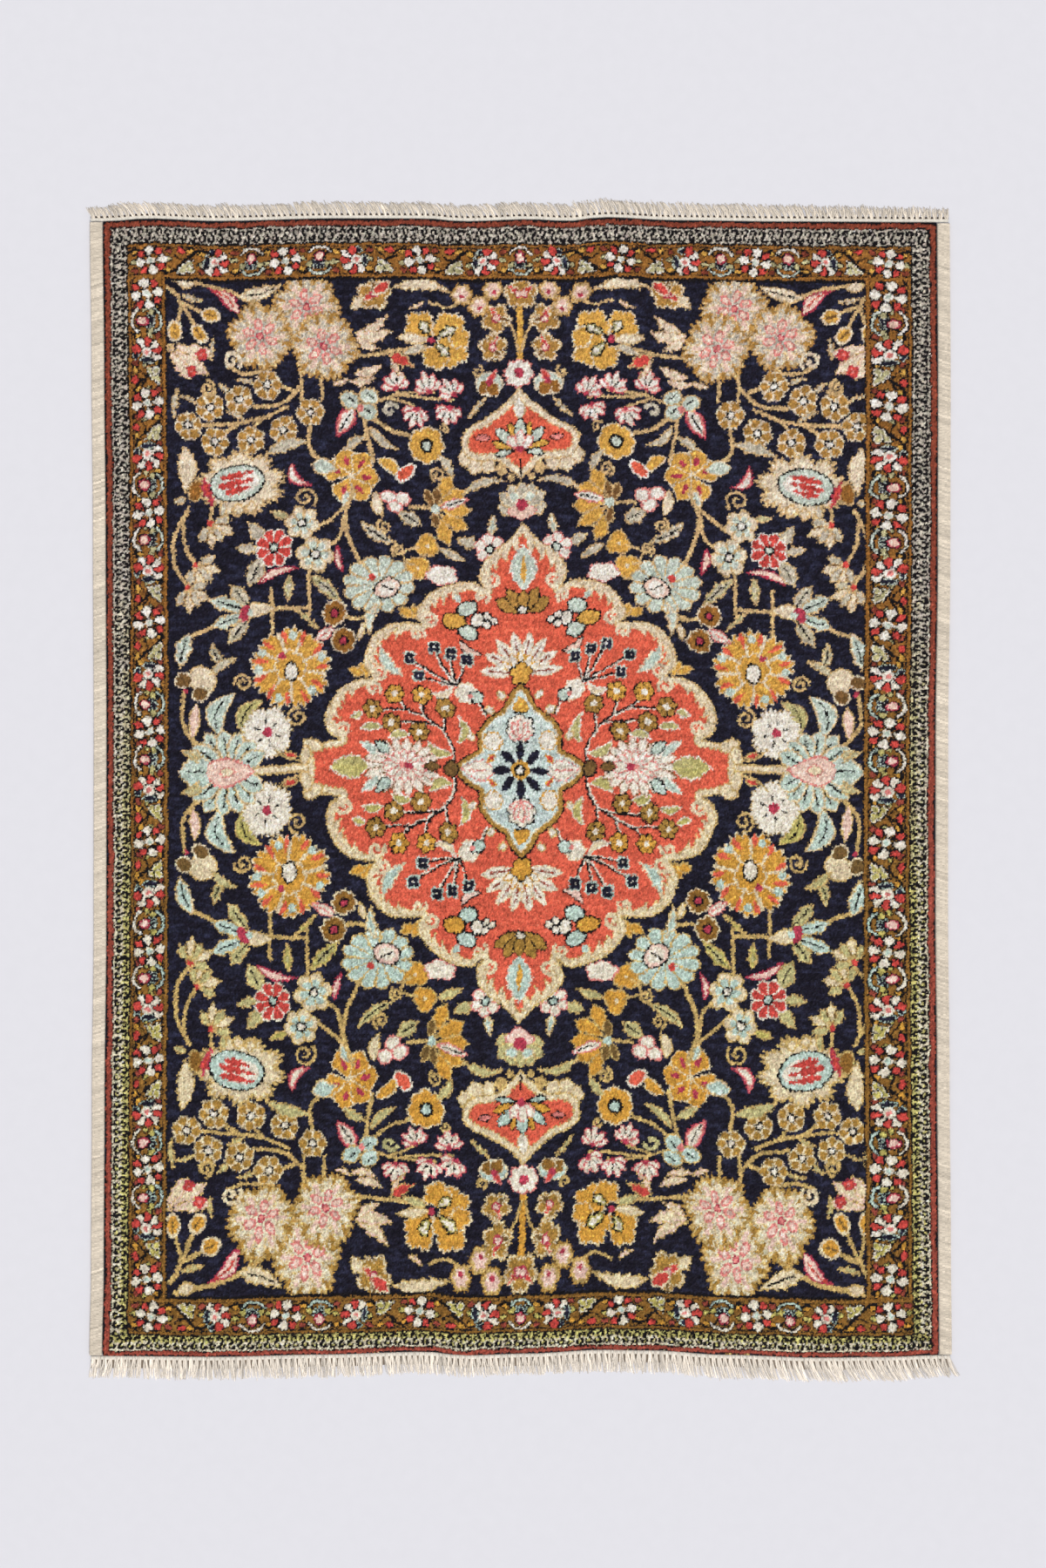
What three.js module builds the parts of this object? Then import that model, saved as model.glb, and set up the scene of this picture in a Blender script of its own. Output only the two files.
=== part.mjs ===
// A hand-knotted silk rug lying flat: the knotted carpet, an overcast side cord
// along each long edge, and at each end a narrow woven band whose warp ends are
// tied off as a short fringe.
// Millimetres. X runs across the rug, Y along its length, Z up.
// The origin is the middle of the rug's underside.
import * as THREE from "three";

// Driving dimensions
const CARPET_WIDTH = 955;
const CARPET_LENGTH = 1301;
const CARPET_THICKNESS = 5;
const PILE_EDGE_ROUND = 1.2;
const PILE_EDGE_BREAK = 0.36;
const SIDE_CORD_WIDTH = 14.5;
const SIDE_CORD_THICKNESS = 4;
const SIDE_CORD_SHOULDER = 1.4;
const END_BAND_WIDTH = 4.2;
const END_BAND_THICKNESS = 2.2;
const END_BAND_INSET = 1;
const SEAM_GAP = 0.3;
const LOCKS_PER_END = 150;
const LOCK_ROOT_WIDTH = 4.4;
const LOCK_TIP_WIDTH = 2.6;
const LOCK_ROOT_THICKNESS = 1.9;
const LOCK_TIP_THICKNESS = 1;
const LOCK_CROWN = 0.7;
const LOCK_REACH_SPREAD = 1.8;
const LOCK_LEAN_SPREAD = 0.05;
const STATION_STEP = 20;

// How far each edge stands out from the plain rectangle, station by station.
// The weaver's tension leaves the long edges drawn in at the waist and the ends
// slightly wavy. along: place on the edge, 0 at its middle; out: bulge outwards.
const LEFT_EDGE = [
  { along: -650, out: 3.2 },
  { along: -560, out: 1.4 },
  { along: -360, out: 0.4 },
  { along: -160, out: -1.6 },
  { along: 60, out: -1.8 },
  { along: 300, out: -0.8 },
  { along: 480, out: 0.8 },
  { along: 650, out: 2.6 },
];
const RIGHT_EDGE = [
  { along: -650, out: 1.8 },
  { along: -520, out: 0.8 },
  { along: -340, out: -0.6 },
  { along: -140, out: -2.4 },
  { along: 60, out: -2.2 },
  { along: 260, out: 0.2 },
  { along: 460, out: 0.6 },
  { along: 650, out: -0.4 },
];
const FAR_EDGE = [
  { along: -478, out: -1.6 },
  { along: -428, out: 1.6 },
  { along: -350, out: -1.2 },
  { along: -210, out: 1.8 },
  { along: -110, out: 1.6 },
  { along: -66, out: -1.6 },
  { along: 10, out: 0.8 },
  { along: 54, out: -1.2 },
  { along: 94, out: 3.2 },
  { along: 180, out: -0.4 },
  { along: 300, out: -1.8 },
  { along: 478, out: -2.6 },
];
const NEAR_EDGE = [
  { along: -478, out: 2.2 },
  { along: -350, out: 3.2 },
  { along: -230, out: 0.6 },
  { along: -110, out: -2.6 },
  { along: -66, out: 1.6 },
  { along: 10, out: -0.6 },
  { along: 90, out: -4.8 },
  { along: 150, out: -4.2 },
  { along: 230, out: 0.8 },
  { along: 340, out: 4.2 },
  { along: 420, out: 3.4 },
  { along: 478, out: 1.2 },
];

// How the warp ends lie at each end. across: place along the end band;
// lean: sideways travel for each millimetre of reach; reach: length past the band.
const FAR_FRINGE = [
  { across: -495, lean: -0.36, reach: 13 },
  { across: -440, lean: -0.62, reach: 15 },
  { across: -250, lean: -0.46, reach: 15 },
  { across: 0, lean: -0.55, reach: 15 },
  { across: 120, lean: -0.36, reach: 16.5 },
  { across: 300, lean: -0.42, reach: 15.5 },
  { across: 430, lean: -0.12, reach: 14 },
  { across: 495, lean: 0.02, reach: 11.5 },
];
const NEAR_FRINGE = [
  { across: -495, lean: -0.16, reach: 20 },
  { across: -420, lean: 0.04, reach: 22 },
  { across: -200, lean: 0.08, reach: 22 },
  { across: 0, lean: 0.12, reach: 20 },
  { across: 140, lean: 0.04, reach: 22 },
  { across: 280, lean: 0.34, reach: 23.5 },
  { across: 400, lean: 0.42, reach: 23 },
  { across: 495, lean: 0.4, reach: 21 },
];

// A table's value at a place, easing from row to row.
function readTable(rows, place, key, value) {
  const last = rows.length - 1;
  if (place <= rows[0][key]) return rows[0][value];
  if (place >= rows[last][key]) return rows[last][value];
  const after = rows.findIndex((row) => row[key] >= place);
  const [low, high] = [rows[after - 1], rows[after]];
  const share = (place - low[key]) / (high[key] - low[key]);
  const eased = share * share * (3 - 2 * share);
  return low[value] + (high[value] - low[value]) * eased;
}

// An edge runs straight between even stations, so neighbours that share it fit.
function bulge(rows, place) {
  const low = Math.floor(place / STATION_STEP) * STATION_STEP;
  const high = low + STATION_STEP;
  const share = (place - low) / STATION_STEP;
  const at = (station) => readTable(rows, station, "along", "out");
  return THREE.MathUtils.lerp(at(low), at(high), share);
}

// Both ends of a stretch, and the even stations between them.
function stations(from, to) {
  const [low, high] = [Math.min(from, to), Math.max(from, to)];
  const places = [low];
  const first = (Math.floor(low / STATION_STEP) + 1) * STATION_STEP;
  for (let place = first; place < high; place += STATION_STEP) places.push(place);
  places.push(high);
  return from < to ? places : places.reverse();
}

const leftX = (y) => -CARPET_WIDTH / 2 - bulge(LEFT_EDGE, y);
const rightX = (y) => CARPET_WIDTH / 2 + bulge(RIGHT_EDGE, y);
const farY = (x) => CARPET_LENGTH / 2 + bulge(FAR_EDGE, x);
const nearY = (x) => -CARPET_LENGTH / 2 - bulge(NEAR_EDGE, x);

// A steady number from -1 to 1 for a lock and a use, the same on every run:
// the far decimals of a sine scatter evenly when the strides share no rhythm.
const LOCK_STRIDE = 12.9898;
const USE_STRIDE = 78.233;
const SCATTER = 43758.5453;
const FAR_UNEVENNESS = 1;
const NEAR_UNEVENNESS = 5;
function unevenness(index, use) {
  const wave = Math.sin(index * LOCK_STRIDE + use * USE_STRIDE) * SCATTER;
  return 2 * (wave - Math.floor(wave)) - 1;
}

// A mesh of flat-shaded faces.
function skin(positions, triangles) {
  const shared = new THREE.BufferGeometry();
  shared.setAttribute("position", new THREE.Float32BufferAttribute(positions, 3));
  shared.setIndex(triangles);
  const faceted = shared.toNonIndexed();
  faceted.computeVertexNormals();
  return faceted;
}

// The faces of a flat convex ring.
function fanFaces(size) {
  return Array.from({ length: size - 2 }, (_, i) => [0, i + 1, i + 2]);
}

// Rings of matching points become a closed skin with a flat cap at each end.
function loftRings(rings, capFaces = fanFaces(rings[0].length)) {
  const size = rings[0].length;
  const positions = rings.flat().flatMap((point) => [point.x, point.y, point.z]);
  const triangles = [];
  for (let r = 0; r + 1 < rings.length; r += 1) {
    for (let s = 0; s < size; s += 1) {
      const a = r * size + s;
      const b = r * size + ((s + 1) % size);
      triangles.push(a, b, b + size, a, b + size, a + size);
    }
  }
  const lastRing = (rings.length - 1) * size;
  for (const [a, b, c] of capFaces) {
    triangles.push(a, c, b);
    triangles.push(lastRing + a, lastRing + b, lastRing + c);
  }
  return skin(positions, triangles);
}

// The knotted carpet: one flat cloth with the uneven outline and a rounded pile edge.
function makeCarpet() {
  const halfWidth = CARPET_WIDTH / 2;
  const halfLength = CARPET_LENGTH / 2;
  const outline = [];
  for (const x of stations(leftX(-halfLength), rightX(-halfLength))) {
    outline.push(new THREE.Vector2(x, nearY(x)));
  }
  for (const y of stations(-halfLength, halfLength).slice(1, -1)) {
    outline.push(new THREE.Vector2(rightX(y), y));
  }
  for (const x of stations(rightX(halfLength), leftX(halfLength))) {
    outline.push(new THREE.Vector2(x, farY(x)));
  }
  for (const y of stations(halfLength, -halfLength).slice(1, -1)) {
    outline.push(new THREE.Vector2(leftX(y), y));
  }
  const inset = (depth) =>
    outline.map((p) => new THREE.Vector2(p.x * (1 - depth / halfWidth), p.y * (1 - depth / halfLength)));
  const ring = (points, z) => points.map((p) => new THREE.Vector3(p.x, p.y, z));
  const rings = [
    ring(outline, 0),
    ring(outline, CARPET_THICKNESS - PILE_EDGE_ROUND),
    ring(inset(PILE_EDGE_BREAK), CARPET_THICKNESS - PILE_EDGE_BREAK),
    ring(inset(PILE_EDGE_ROUND), CARPET_THICKNESS),
  ];
  return loftRings(rings, THREE.ShapeUtils.triangulateShape(outline, []));
}

// An overcast side cord: a flat band with rounded shoulders, laid along a long edge.
function makeSideCord(edgeX, side) {
  const section = [
    { out: 0, up: 0 },
    { out: SIDE_CORD_WIDTH - SIDE_CORD_SHOULDER, up: 0 },
    { out: SIDE_CORD_WIDTH, up: SIDE_CORD_SHOULDER },
    { out: SIDE_CORD_WIDTH, up: SIDE_CORD_THICKNESS - SIDE_CORD_SHOULDER },
    { out: SIDE_CORD_WIDTH - SIDE_CORD_SHOULDER, up: SIDE_CORD_THICKNESS },
    { out: SIDE_CORD_SHOULDER, up: SIDE_CORD_THICKNESS },
    { out: 0, up: SIDE_CORD_THICKNESS - SIDE_CORD_SHOULDER },
  ];
  const cornerX = side * (CARPET_WIDTH / 2 + SIDE_CORD_WIDTH);
  const low = nearY(cornerX);
  const high = farY(cornerX);
  const rings = stations(low, high).map((y) => {
    const inner = edgeX(y) + side * SEAM_GAP;
    const ring = section.map((p) => new THREE.Vector3(inner + side * p.out, y, p.up));
    return side > 0 ? ring.reverse() : ring;
  });
  return loftRings(rings);
}

// One lock of warp ends beyond its root: four sides, flat on the floor, bending as it leans.
function lockRings(root, direction, lean, reach) {
  const sections = [
    { share: 0.5, bend: 0.36 },
    { share: 1, bend: 1 },
  ];
  return sections.map(({ share, bend }) => {
    const x = root.x + lean * reach * bend;
    const y = root.y + direction * reach * share;
    const half = THREE.MathUtils.lerp(LOCK_ROOT_WIDTH, LOCK_TIP_WIDTH, share) / 2;
    const top = THREE.MathUtils.lerp(LOCK_ROOT_THICKNESS, LOCK_TIP_THICKNESS, share);
    return [
      new THREE.Vector3(x - half, y, 0),
      new THREE.Vector3(x + half, y, 0),
      new THREE.Vector3(x + half * LOCK_CROWN, y, top),
      new THREE.Vector3(x - half * LOCK_CROWN, y, top),
    ];
  });
}

// The woven end band with its locks: between two sections of the band, the outer
// face is either plain or the root of a lock.
function makeFringe(edgeY, direction, habit, use) {
  const from = leftX((direction * CARPET_LENGTH) / 2) - SIDE_CORD_WIDTH + END_BAND_INSET;
  const to = rightX((direction * CARPET_LENGTH) / 2) + SIDE_CORD_WIDTH - END_BAND_INSET;
  const pitch = (to - from) / LOCKS_PER_END;
  const points = [];
  const triangles = [];
  const face = (...corners) => {
    const [a, b, c, d] = direction > 0 ? corners : corners.reverse();
    triangles.push(a, b, c, a, c, d);
  };
  const addRing = (ring) => {
    points.push(...ring);
    return ring.map((_, i) => points.length - ring.length + i);
  };
  const bandSection = (x) => {
    const inner = edgeY(x) + direction * SEAM_GAP;
    const outer = inner + direction * END_BAND_WIDTH;
    return addRing([
      new THREE.Vector3(x, inner, 0),
      new THREE.Vector3(x, outer, 0),
      new THREE.Vector3(x, outer, LOCK_ROOT_THICKNESS),
      new THREE.Vector3(x, inner, END_BAND_THICKNESS),
    ]);
  };
  const joinBand = (low, high, openOutside) => {
    face(low[0], low[1], high[1], high[0]);
    face(low[2], low[3], high[3], high[2]);
    face(low[3], low[0], high[0], high[3]);
    if (!openOutside) face(low[1], low[2], high[2], high[1]);
  };
  let before = bandSection(from);
  const firstSection = before;
  for (let i = 0; i < LOCKS_PER_END; i += 1) {
    const x = from + (i + 0.5) * pitch;
    const low = bandSection(x - LOCK_ROOT_WIDTH / 2);
    const high = bandSection(x + LOCK_ROOT_WIDTH / 2);
    joinBand(before, low, false);
    joinBand(low, high, true);
    const root = { x, y: edgeY(x) + direction * (SEAM_GAP + END_BAND_WIDTH) };
    const lean = readTable(habit, x, "across", "lean") + LOCK_LEAN_SPREAD * unevenness(i, use);
    const reach = readTable(habit, x, "across", "reach") + LOCK_REACH_SPREAD * unevenness(i, use + 1);
    let ring = [low[1], high[1], high[2], low[2]];
    for (const next of lockRings(root, direction, lean, reach).map(addRing)) {
      for (let s = 0; s < 4; s += 1) face(ring[s], next[s], next[(s + 1) % 4], ring[(s + 1) % 4]);
      ring = next;
    }
    face(...ring.reverse());
    before = high;
  }
  const lastSection = bandSection(to);
  joinBand(before, lastSection, false);
  face(...firstSection.slice().reverse());
  face(...lastSection);
  return skin(points.flatMap((point) => [point.x, point.y, point.z]), triangles);
}

// Finishes
const knottedSilk = new THREE.MeshStandardMaterial({ color: "#7a4a3c", roughness: 0.75, metalness: 0 });
const overcastCotton = new THREE.MeshStandardMaterial({ color: "#d8cfbd", roughness: 0.85, metalness: 0 });
const warpCotton = new THREE.MeshStandardMaterial({ color: "#ddd3c3", roughness: 0.9, metalness: 0 });

function namedMesh(name, geometry, material) {
  const mesh = new THREE.Mesh(geometry, material);
  mesh.name = name;
  return mesh;
}

// The rug
const rug = new THREE.Group();
rug.add(namedMesh("carpet", makeCarpet(), knottedSilk));
rug.add(namedMesh("side_cord_left", makeSideCord(leftX, -1), overcastCotton));
rug.add(namedMesh("side_cord_right", makeSideCord(rightX, 1), overcastCotton));
rug.add(namedMesh("fringe_far", makeFringe(farY, 1, FAR_FRINGE, FAR_UNEVENNESS), warpCotton));
rug.add(namedMesh("fringe_near", makeFringe(nearY, -1, NEAR_FRINGE, NEAR_UNEVENNESS), warpCotton));

// Set the origin at the middle of the underside.
const extent = new THREE.Box3().setFromObject(rug);
const middle = extent.getCenter(new THREE.Vector3());
rug.children.forEach((mesh) => mesh.position.set(-middle.x, -middle.y, -extent.min.z));

export default rug;
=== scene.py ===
# %% [markdown]
# # A hand-knotted silk rug, seen from straight above
# This lesson dresses a packed rug in Blender: a knotted pile with a medallion, overcast side cords
# and a short fringe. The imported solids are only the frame. They give the true outline, and every
# piece made here lies on them, so nothing has to be fitted afterwards.

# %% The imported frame
import bpy
import numpy as np
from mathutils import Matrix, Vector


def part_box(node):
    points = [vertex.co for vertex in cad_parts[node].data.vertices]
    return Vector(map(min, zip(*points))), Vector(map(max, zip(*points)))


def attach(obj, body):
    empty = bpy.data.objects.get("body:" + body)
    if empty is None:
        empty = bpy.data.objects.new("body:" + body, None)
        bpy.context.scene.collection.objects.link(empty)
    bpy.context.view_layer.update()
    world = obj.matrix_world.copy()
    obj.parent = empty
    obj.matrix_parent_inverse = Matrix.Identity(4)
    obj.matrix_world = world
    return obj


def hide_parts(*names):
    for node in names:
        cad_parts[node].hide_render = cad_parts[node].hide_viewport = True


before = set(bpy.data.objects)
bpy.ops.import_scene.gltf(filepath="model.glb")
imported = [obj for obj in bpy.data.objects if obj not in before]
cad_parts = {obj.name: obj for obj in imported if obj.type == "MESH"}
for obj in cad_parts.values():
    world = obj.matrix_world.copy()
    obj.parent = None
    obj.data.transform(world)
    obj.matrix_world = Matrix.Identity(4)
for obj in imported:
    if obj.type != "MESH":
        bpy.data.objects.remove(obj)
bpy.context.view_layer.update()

MM = 0.001

# %% [markdown]
# ## Camera, floor and light
# The rug was seen from straight above, so the camera looks straight down and its picture is a plan.
# A long lens keeps the thin edges upright. The floor is plain paper under an even white sky, with one
# soft sun low enough to pick out the knots; no light is strong enough to draw a hard shadow.

# %% Camera straight above
LENS = 85                        # mm
SENSOR = 36                      # mm, along the long side of the picture
FLOOR_IN_VIEW = 1.8              # m of floor along the long side of the picture
CAMERA_OVER = (0.001, 0.0075)    # m, the point of the rug under the camera
camera = bpy.data.objects.new("camera", bpy.data.cameras.new("camera"))
camera.data.lens = LENS
camera.data.sensor_width = SENSOR
camera.location = (*CAMERA_OVER, FLOOR_IN_VIEW * LENS / SENSOR)
bpy.context.collection.objects.link(camera)
bpy.context.scene.camera = camera
print("camera", round(camera.location.z, 2), "m above the floor")


# %% Colours and nodes
def linear(shade):
    """An sRGB hex colour as the linear red, green and blue that Blender works in."""
    light = np.array([int(shade[i:i + 2], 16) for i in (1, 3, 5)]) / 255
    return np.where(light <= 0.04045, light / 12.92, ((light + 0.055) / 1.055) ** 2.4)


def colour(shade):
    """The same with a full alpha, as a colour socket takes it."""
    return (*linear(shade), 1)


def add_node(tree, kind, inputs=(), **settings):
    """Adds one node; inputs gives each socket its value, or the output of another node to link."""
    node = tree.nodes.new(kind)
    for name, value in settings.items():
        setattr(node, name, value)
    for name, value in dict(inputs).items():
        if isinstance(value, bpy.types.NodeSocket):
            tree.links.new(value, node.inputs[name])
        else:
            node.inputs[name].default_value = value
    return node


def new_material(name):
    """An empty material with its output node, ready for a shader."""
    material = bpy.data.materials.new(name)
    material.use_nodes = True
    material.node_tree.nodes.clear()
    return material, material.node_tree, material.node_tree.nodes.new("ShaderNodeOutputMaterial")


# %% Paper floor and studio light
FLOOR_SIDE = 14                  # m
PAPER_SHADES = ("#e4e3e9", "#e8e7ed")
PAPER_GRAIN = 900                # noise cells in a metre
SKY_SHADE = "#ffffff"
SKY_STRENGTH = 0.64
SUN_STRENGTH = 1.42
SUN_SPREAD = 24                  # degrees across, a wide soft source
SUN_TURN = (38, 0, 24)           # degrees, light comes from the near right
paper, tree, surface = new_material("studio_paper_matt")
# Matt paper gives almost no gloss, only a slight fibre mottle that is lost in the render.
grain = add_node(tree, "ShaderNodeTexNoise", {"Scale": PAPER_GRAIN, "Detail": 2})
first_shade, second_shade = (colour(shade) for shade in PAPER_SHADES)
mottle = add_node(tree, "ShaderNodeMix", {
    0: grain.outputs[0], 6: first_shade, 7: second_shade,
}, data_type="RGBA")
shader = add_node(tree, "ShaderNodeBsdfPrincipled", {
    "Base Color": mottle.outputs[2], "Roughness": 0.95, "Specular IOR Level": 0.1,
})
tree.links.new(shader.outputs[0], surface.inputs[0])
half = FLOOR_SIDE / 2
floor_mesh = bpy.data.meshes.new("floor")
floor_corners = [(-half, -half, 0), (half, -half, 0), (half, half, 0), (-half, half, 0)]
floor_mesh.from_pydata(floor_corners, [], [(0, 1, 2, 3)])
floor_mesh.materials.append(paper)
floor = bpy.data.objects.new("floor", floor_mesh)
bpy.context.collection.objects.link(floor)
world = bpy.data.worlds.new("white_sky")
world.use_nodes = True
sky = world.node_tree.nodes["Background"].inputs
sky["Color"].default_value = colour(SKY_SHADE)
sky["Strength"].default_value = SKY_STRENGTH
bpy.context.scene.world = world
bpy.context.scene.view_settings.view_transform = "Standard"
sun = bpy.data.objects.new("sun", bpy.data.lights.new("sun", "SUN"))
sun.data.energy = SUN_STRENGTH
sun.data.angle = np.radians(SUN_SPREAD)
sun.rotation_euler = np.radians(SUN_TURN)
bpy.context.collection.objects.link(sun)
print("floor", FLOOR_SIDE, "m square, sun", SUN_SPREAD, "degrees wide")

# %% [markdown]
# ## The dyer's yarns
# A hand-knotted rug is coloured knot by knot from a few dye pots. Painting one picture over the
# rug would lose that, so every colour below is a named yarn. Each yarn has two shades, because the
# weaver ran out of the first batch part of the way down: greens and whites turn sour at the near end.

# %% Yarn shades
YARNS = {
    # yarn: (shade at the far end, shade at the near end)
    "navy": ("#181521", "#171420"),
    "black": ("#141013", "#141013"),
    "coral": ("#d65e47", "#d45e48"),
    "red": ("#c2463f", "#c0463f"),
    "crimson": ("#aa3a4c", "#ac3b4e"),
    "rust": ("#86402f", "#964739"),
    "gold": ("#d09d4b", "#ca943d"),
    "honey": ("#a87d40", "#a37d3b"),
    "ochre": ("#90602c", "#87602b"),
    "brown": ("#755330", "#705731"),
    "tan": ("#caa878", "#c2a467"),
    "cream": ("#e0cbb0", "#dcc9a5"),
    "grey": ("#c0b5a2", "#b8b07c"),
    "lime": ("#b3aa80", "#b5aa5f"),
    "mint": ("#c0c8bb", "#b4c8bc"),
    "aqua": ("#c6d0c8", "#c0d0cc"),
    "pink": ("#d67f78", "#d57e78"),
    "blush": ("#e8c2b1", "#e7c1b2"),
    "white": ("#e8ddd0", "#e4d9c5"),
    "bone": ("#beb4a6", "#dbd0b4"),
    "sour": ("#beb4a6", "#c6bc74"),
}
YARN_NUMBER = {name: number for number, name in enumerate(YARNS)}
print(len(YARNS), "yarns")

# %% [markdown]
# ## The chart
# Weavers of such rugs follow a chart on squared paper that shows one quarter of the design. The
# chart here is the same: an array of yarn numbers, drawn with a few brushes. Each brush works out how
# deep every square lies inside its shape, so an outline is simply the squares that are not very deep.

# %% Squared paper and its brushes
SQUARE = 0.5        # mm, one square of the chart
OUTLINE = 1.7       # mm, the usual outline
SERRATION = 2.6     # mm, how deep the teeth of a leaf are cut
ROUNDED = 0.8       # power below one that fills out leaves and petals
HAIR_LONG = 0.16    # share of a flower's radius that its hairs stand out
RIB_WIDE = 0.3      # share of a petal's wave that a dark rib takes
NO_LENGTH = 1e-6    # mm, keeps a division safe where two points fall together


def catmull(points, per_span=12):
    """A smooth run of points through the given ones."""
    p = np.array(points, float)
    p = np.vstack([2 * p[0] - p[1], p, 2 * p[-1] - p[-2]])
    t = np.linspace(0, 1, per_span, endpoint=False)[:, None]
    spans = []
    for a, b, c, d in zip(p, p[1:], p[2:], p[3:]):
        spans.append(0.5 * (2 * b + (c - a) * t + (2 * a - 5 * b + 4 * c - d) * t**2
                            + (3 * b - 3 * c + d - a) * t**3))
    return np.vstack([*spans, p[-2:-1]])


def beside(run, u, v):
    """How far each square lies from a run of points, and how far along the run it is nearest."""
    gap = np.full(np.broadcast_shapes(u.shape, v.shape), np.inf)
    place = np.zeros(gap.shape)
    passed = 0
    for (au, av), (bu, bv) in zip(run, run[1:]):
        du, dv = bu - au, bv - av
        length = max(np.hypot(du, dv), NO_LENGTH)
        t = np.clip(((u - au) * du + (v - av) * dv) / length**2, 0, 1)
        away = np.hypot(u - au - t * du, v - av - t * dv)
        place = np.where(away < gap, passed + t * length, place)
        gap = np.minimum(gap, away)
        passed += length
    return gap, place


class Chart:
    """Squared paper: u runs across and v along, in millimetres from the lower inner corner."""

    def __init__(self, wide, high, ground):
        shape = (round(high / SQUARE), round(wide / SQUARE))
        self.squares = np.full(shape, YARN_NUMBER[ground], np.uint8)

    def near(self, at, reach):
        """The squares within reach of a point, and their places measured from it."""
        spans = []
        places = []
        for centre, count in zip(at, self.squares.shape[::-1]):
            first = min(max(int((centre - reach) / SQUARE), 0), count)
            last = min(max(int((centre + reach) / SQUARE) + 1, first), count)
            spans.append(slice(first, last))
            places.append((np.arange(first, last) + 0.5) * SQUARE - centre)
        return (spans[1], spans[0]), places[0][None, :], places[1][:, None]

    def dye(self, where, depth, yarns):
        """Gives each yarn the squares that lie deeper in the shape than its own inset."""
        for yarn, inset in yarns.items():
            self.squares[where][depth > inset] = YARN_NUMBER[yarn]

    def oval(self, at, across, along, yarns, turn=0):
        """An oval; across and along are its half widths before the turn, in degrees."""
        where, u, v = self.near(at, max(across, along))
        c, s = np.cos(np.radians(turn)), np.sin(np.radians(turn))
        far = np.hypot((u * c + v * s) / across, (v * c - u * s) / along)
        self.dye(where, (1 - far) * min(across, along), yarns)

    def dot(self, at, radius, yarn):
        """A round spot of one yarn."""
        self.oval(at, radius, radius, {yarn: 0})

    def blossom(self, at, radius, petals, yarns, turn=0, notch=0.3, squash=1, hairs=0, ribs=None):
        """A round flower: notch says how deep the gaps between its petals go."""
        where, u, v = self.near(at, radius * 1.2)
        v = v / squash
        angle = np.arctan2(v, u) - np.radians(turn)
        wave = np.abs(np.cos(petals * angle / 2))
        edge = radius * (1 - notch * (1 - wave**ROUNDED))
        if hairs:
            edge = edge * (1 + HAIR_LONG * np.abs(np.cos(hairs * angle / 2)))
        depth = edge - np.hypot(u, v)
        self.dye(where, depth, yarns)
        if ribs:
            self.squares[where][(depth > 0) & (wave < RIB_WIDE)] = YARN_NUMBER[ribs]

    def leaf(self, root, tip, wide, yarns, bend=0, belly=0.45, teeth=0, vein=None):
        """A leaf or petal from root to tip. bend bows it sideways; belly says where it is widest."""
        root, tip = np.array(root, float), np.array(tip, float)
        length = np.hypot(*(tip - root))
        where, u, v = self.near((root + tip) / 2, length * (0.6 + abs(bend)) + wide / 2)
        (du, dv), (mu, mv) = (tip - root) / length, (tip - root) / 2
        along = ((u + mu) * du + (v + mv) * dv) / length
        within = (along > 0) & (along < 1)
        along = np.clip(along, 0, 1)
        aside = (v + mv) * du - (u + mu) * dv - bend * length * 4 * along * (1 - along)
        half = wide / 2 * np.sin(np.pi * along ** (np.log(0.5) / np.log(belly))) ** ROUNDED
        if teeth:
            half = half - SERRATION * (along * teeth % 1) * (half > SERRATION)
        depth = np.where(within, half - np.abs(aside), -1)
        self.dye(where, depth, yarns)
        if vein:
            on_vein = (np.abs(aside) < 1) & (along > 0.2) & (along < 0.8) & (depth > 1.5)
            self.squares[where][on_vein] = YARN_NUMBER[vein]

    def stem(self, points, wide, yarn, shadow=None):
        """A line through the points, with an optional second yarn along one side."""
        run = catmull(points, per_span=8) if len(points) > 2 else np.array(points, float)
        middle = (run.min(0) + run.max(0)) / 2
        where, u, v = self.near(middle, np.ptp(run, axis=0).max() / 2 + wide)
        if shadow:
            shaded = beside(run - middle + (wide * 0.7, -wide * 0.4), u, v)[0]
            self.squares[where][shaded < wide / 2] = YARN_NUMBER[shadow]
        self.squares[where][beside(run - middle, u, v)[0] < wide / 2] = YARN_NUMBER[yarn]

    def curl(self, at, radius, yarn, turn=0, hand=1, turns=1.4, wide=3.2):
        """A tendril that winds inwards."""
        t = np.linspace(0, 1, 14)
        angle = np.radians(turn) + hand * 2 * np.pi * turns * t
        away = radius * (1 - 0.8 * t)
        self.stem(np.stack([at[0] + away * np.cos(angle), at[1] + away * np.sin(angle)], 1), wide, yarn)


def toward(at, degrees, reach):
    """The point at a distance and direction: 0 is outwards, 90 towards the far end."""
    return at[0] + reach * np.cos(np.radians(degrees)), at[1] + reach * np.sin(np.radians(degrees))


# %% Flowers that come back many times
ROSETTE = 17        # mm, the radius of a honey rosette
THISTLE = 40        # mm, the radius of a thistle


def eye(chart, at, radius, ring, heart):
    """The middle of a flower: a dark ring round a light heart."""
    chart.dot(at, radius, ring)
    chart.dot(at, radius * 0.62, heart)


def rosette(chart, at, turn):
    """A round honey flower of six separate petals about a small eye."""
    for lean in range(turn, turn + 360, 60):
        chart.leaf(toward(at, lean, 2), toward(at, lean, ROSETTE), ROSETTE * 5.4 / 6,
                   {"cream": 0, "honey": OUTLINE * 1.4}, belly=0.66)
    eye(chart, at, ROSETTE * 0.31, "black", "white")


def fan(chart, at, reach, turn, spread, petals, wide, yarns, vein=None):
    """Petals that spread from one point, as in a lotus or a palmette."""
    for angle in np.linspace(turn - spread / 2, turn + spread / 2, petals):
        chart.leaf(at, toward(at, angle, reach), wide, yarns, belly=0.62, vein=vein)


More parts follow.
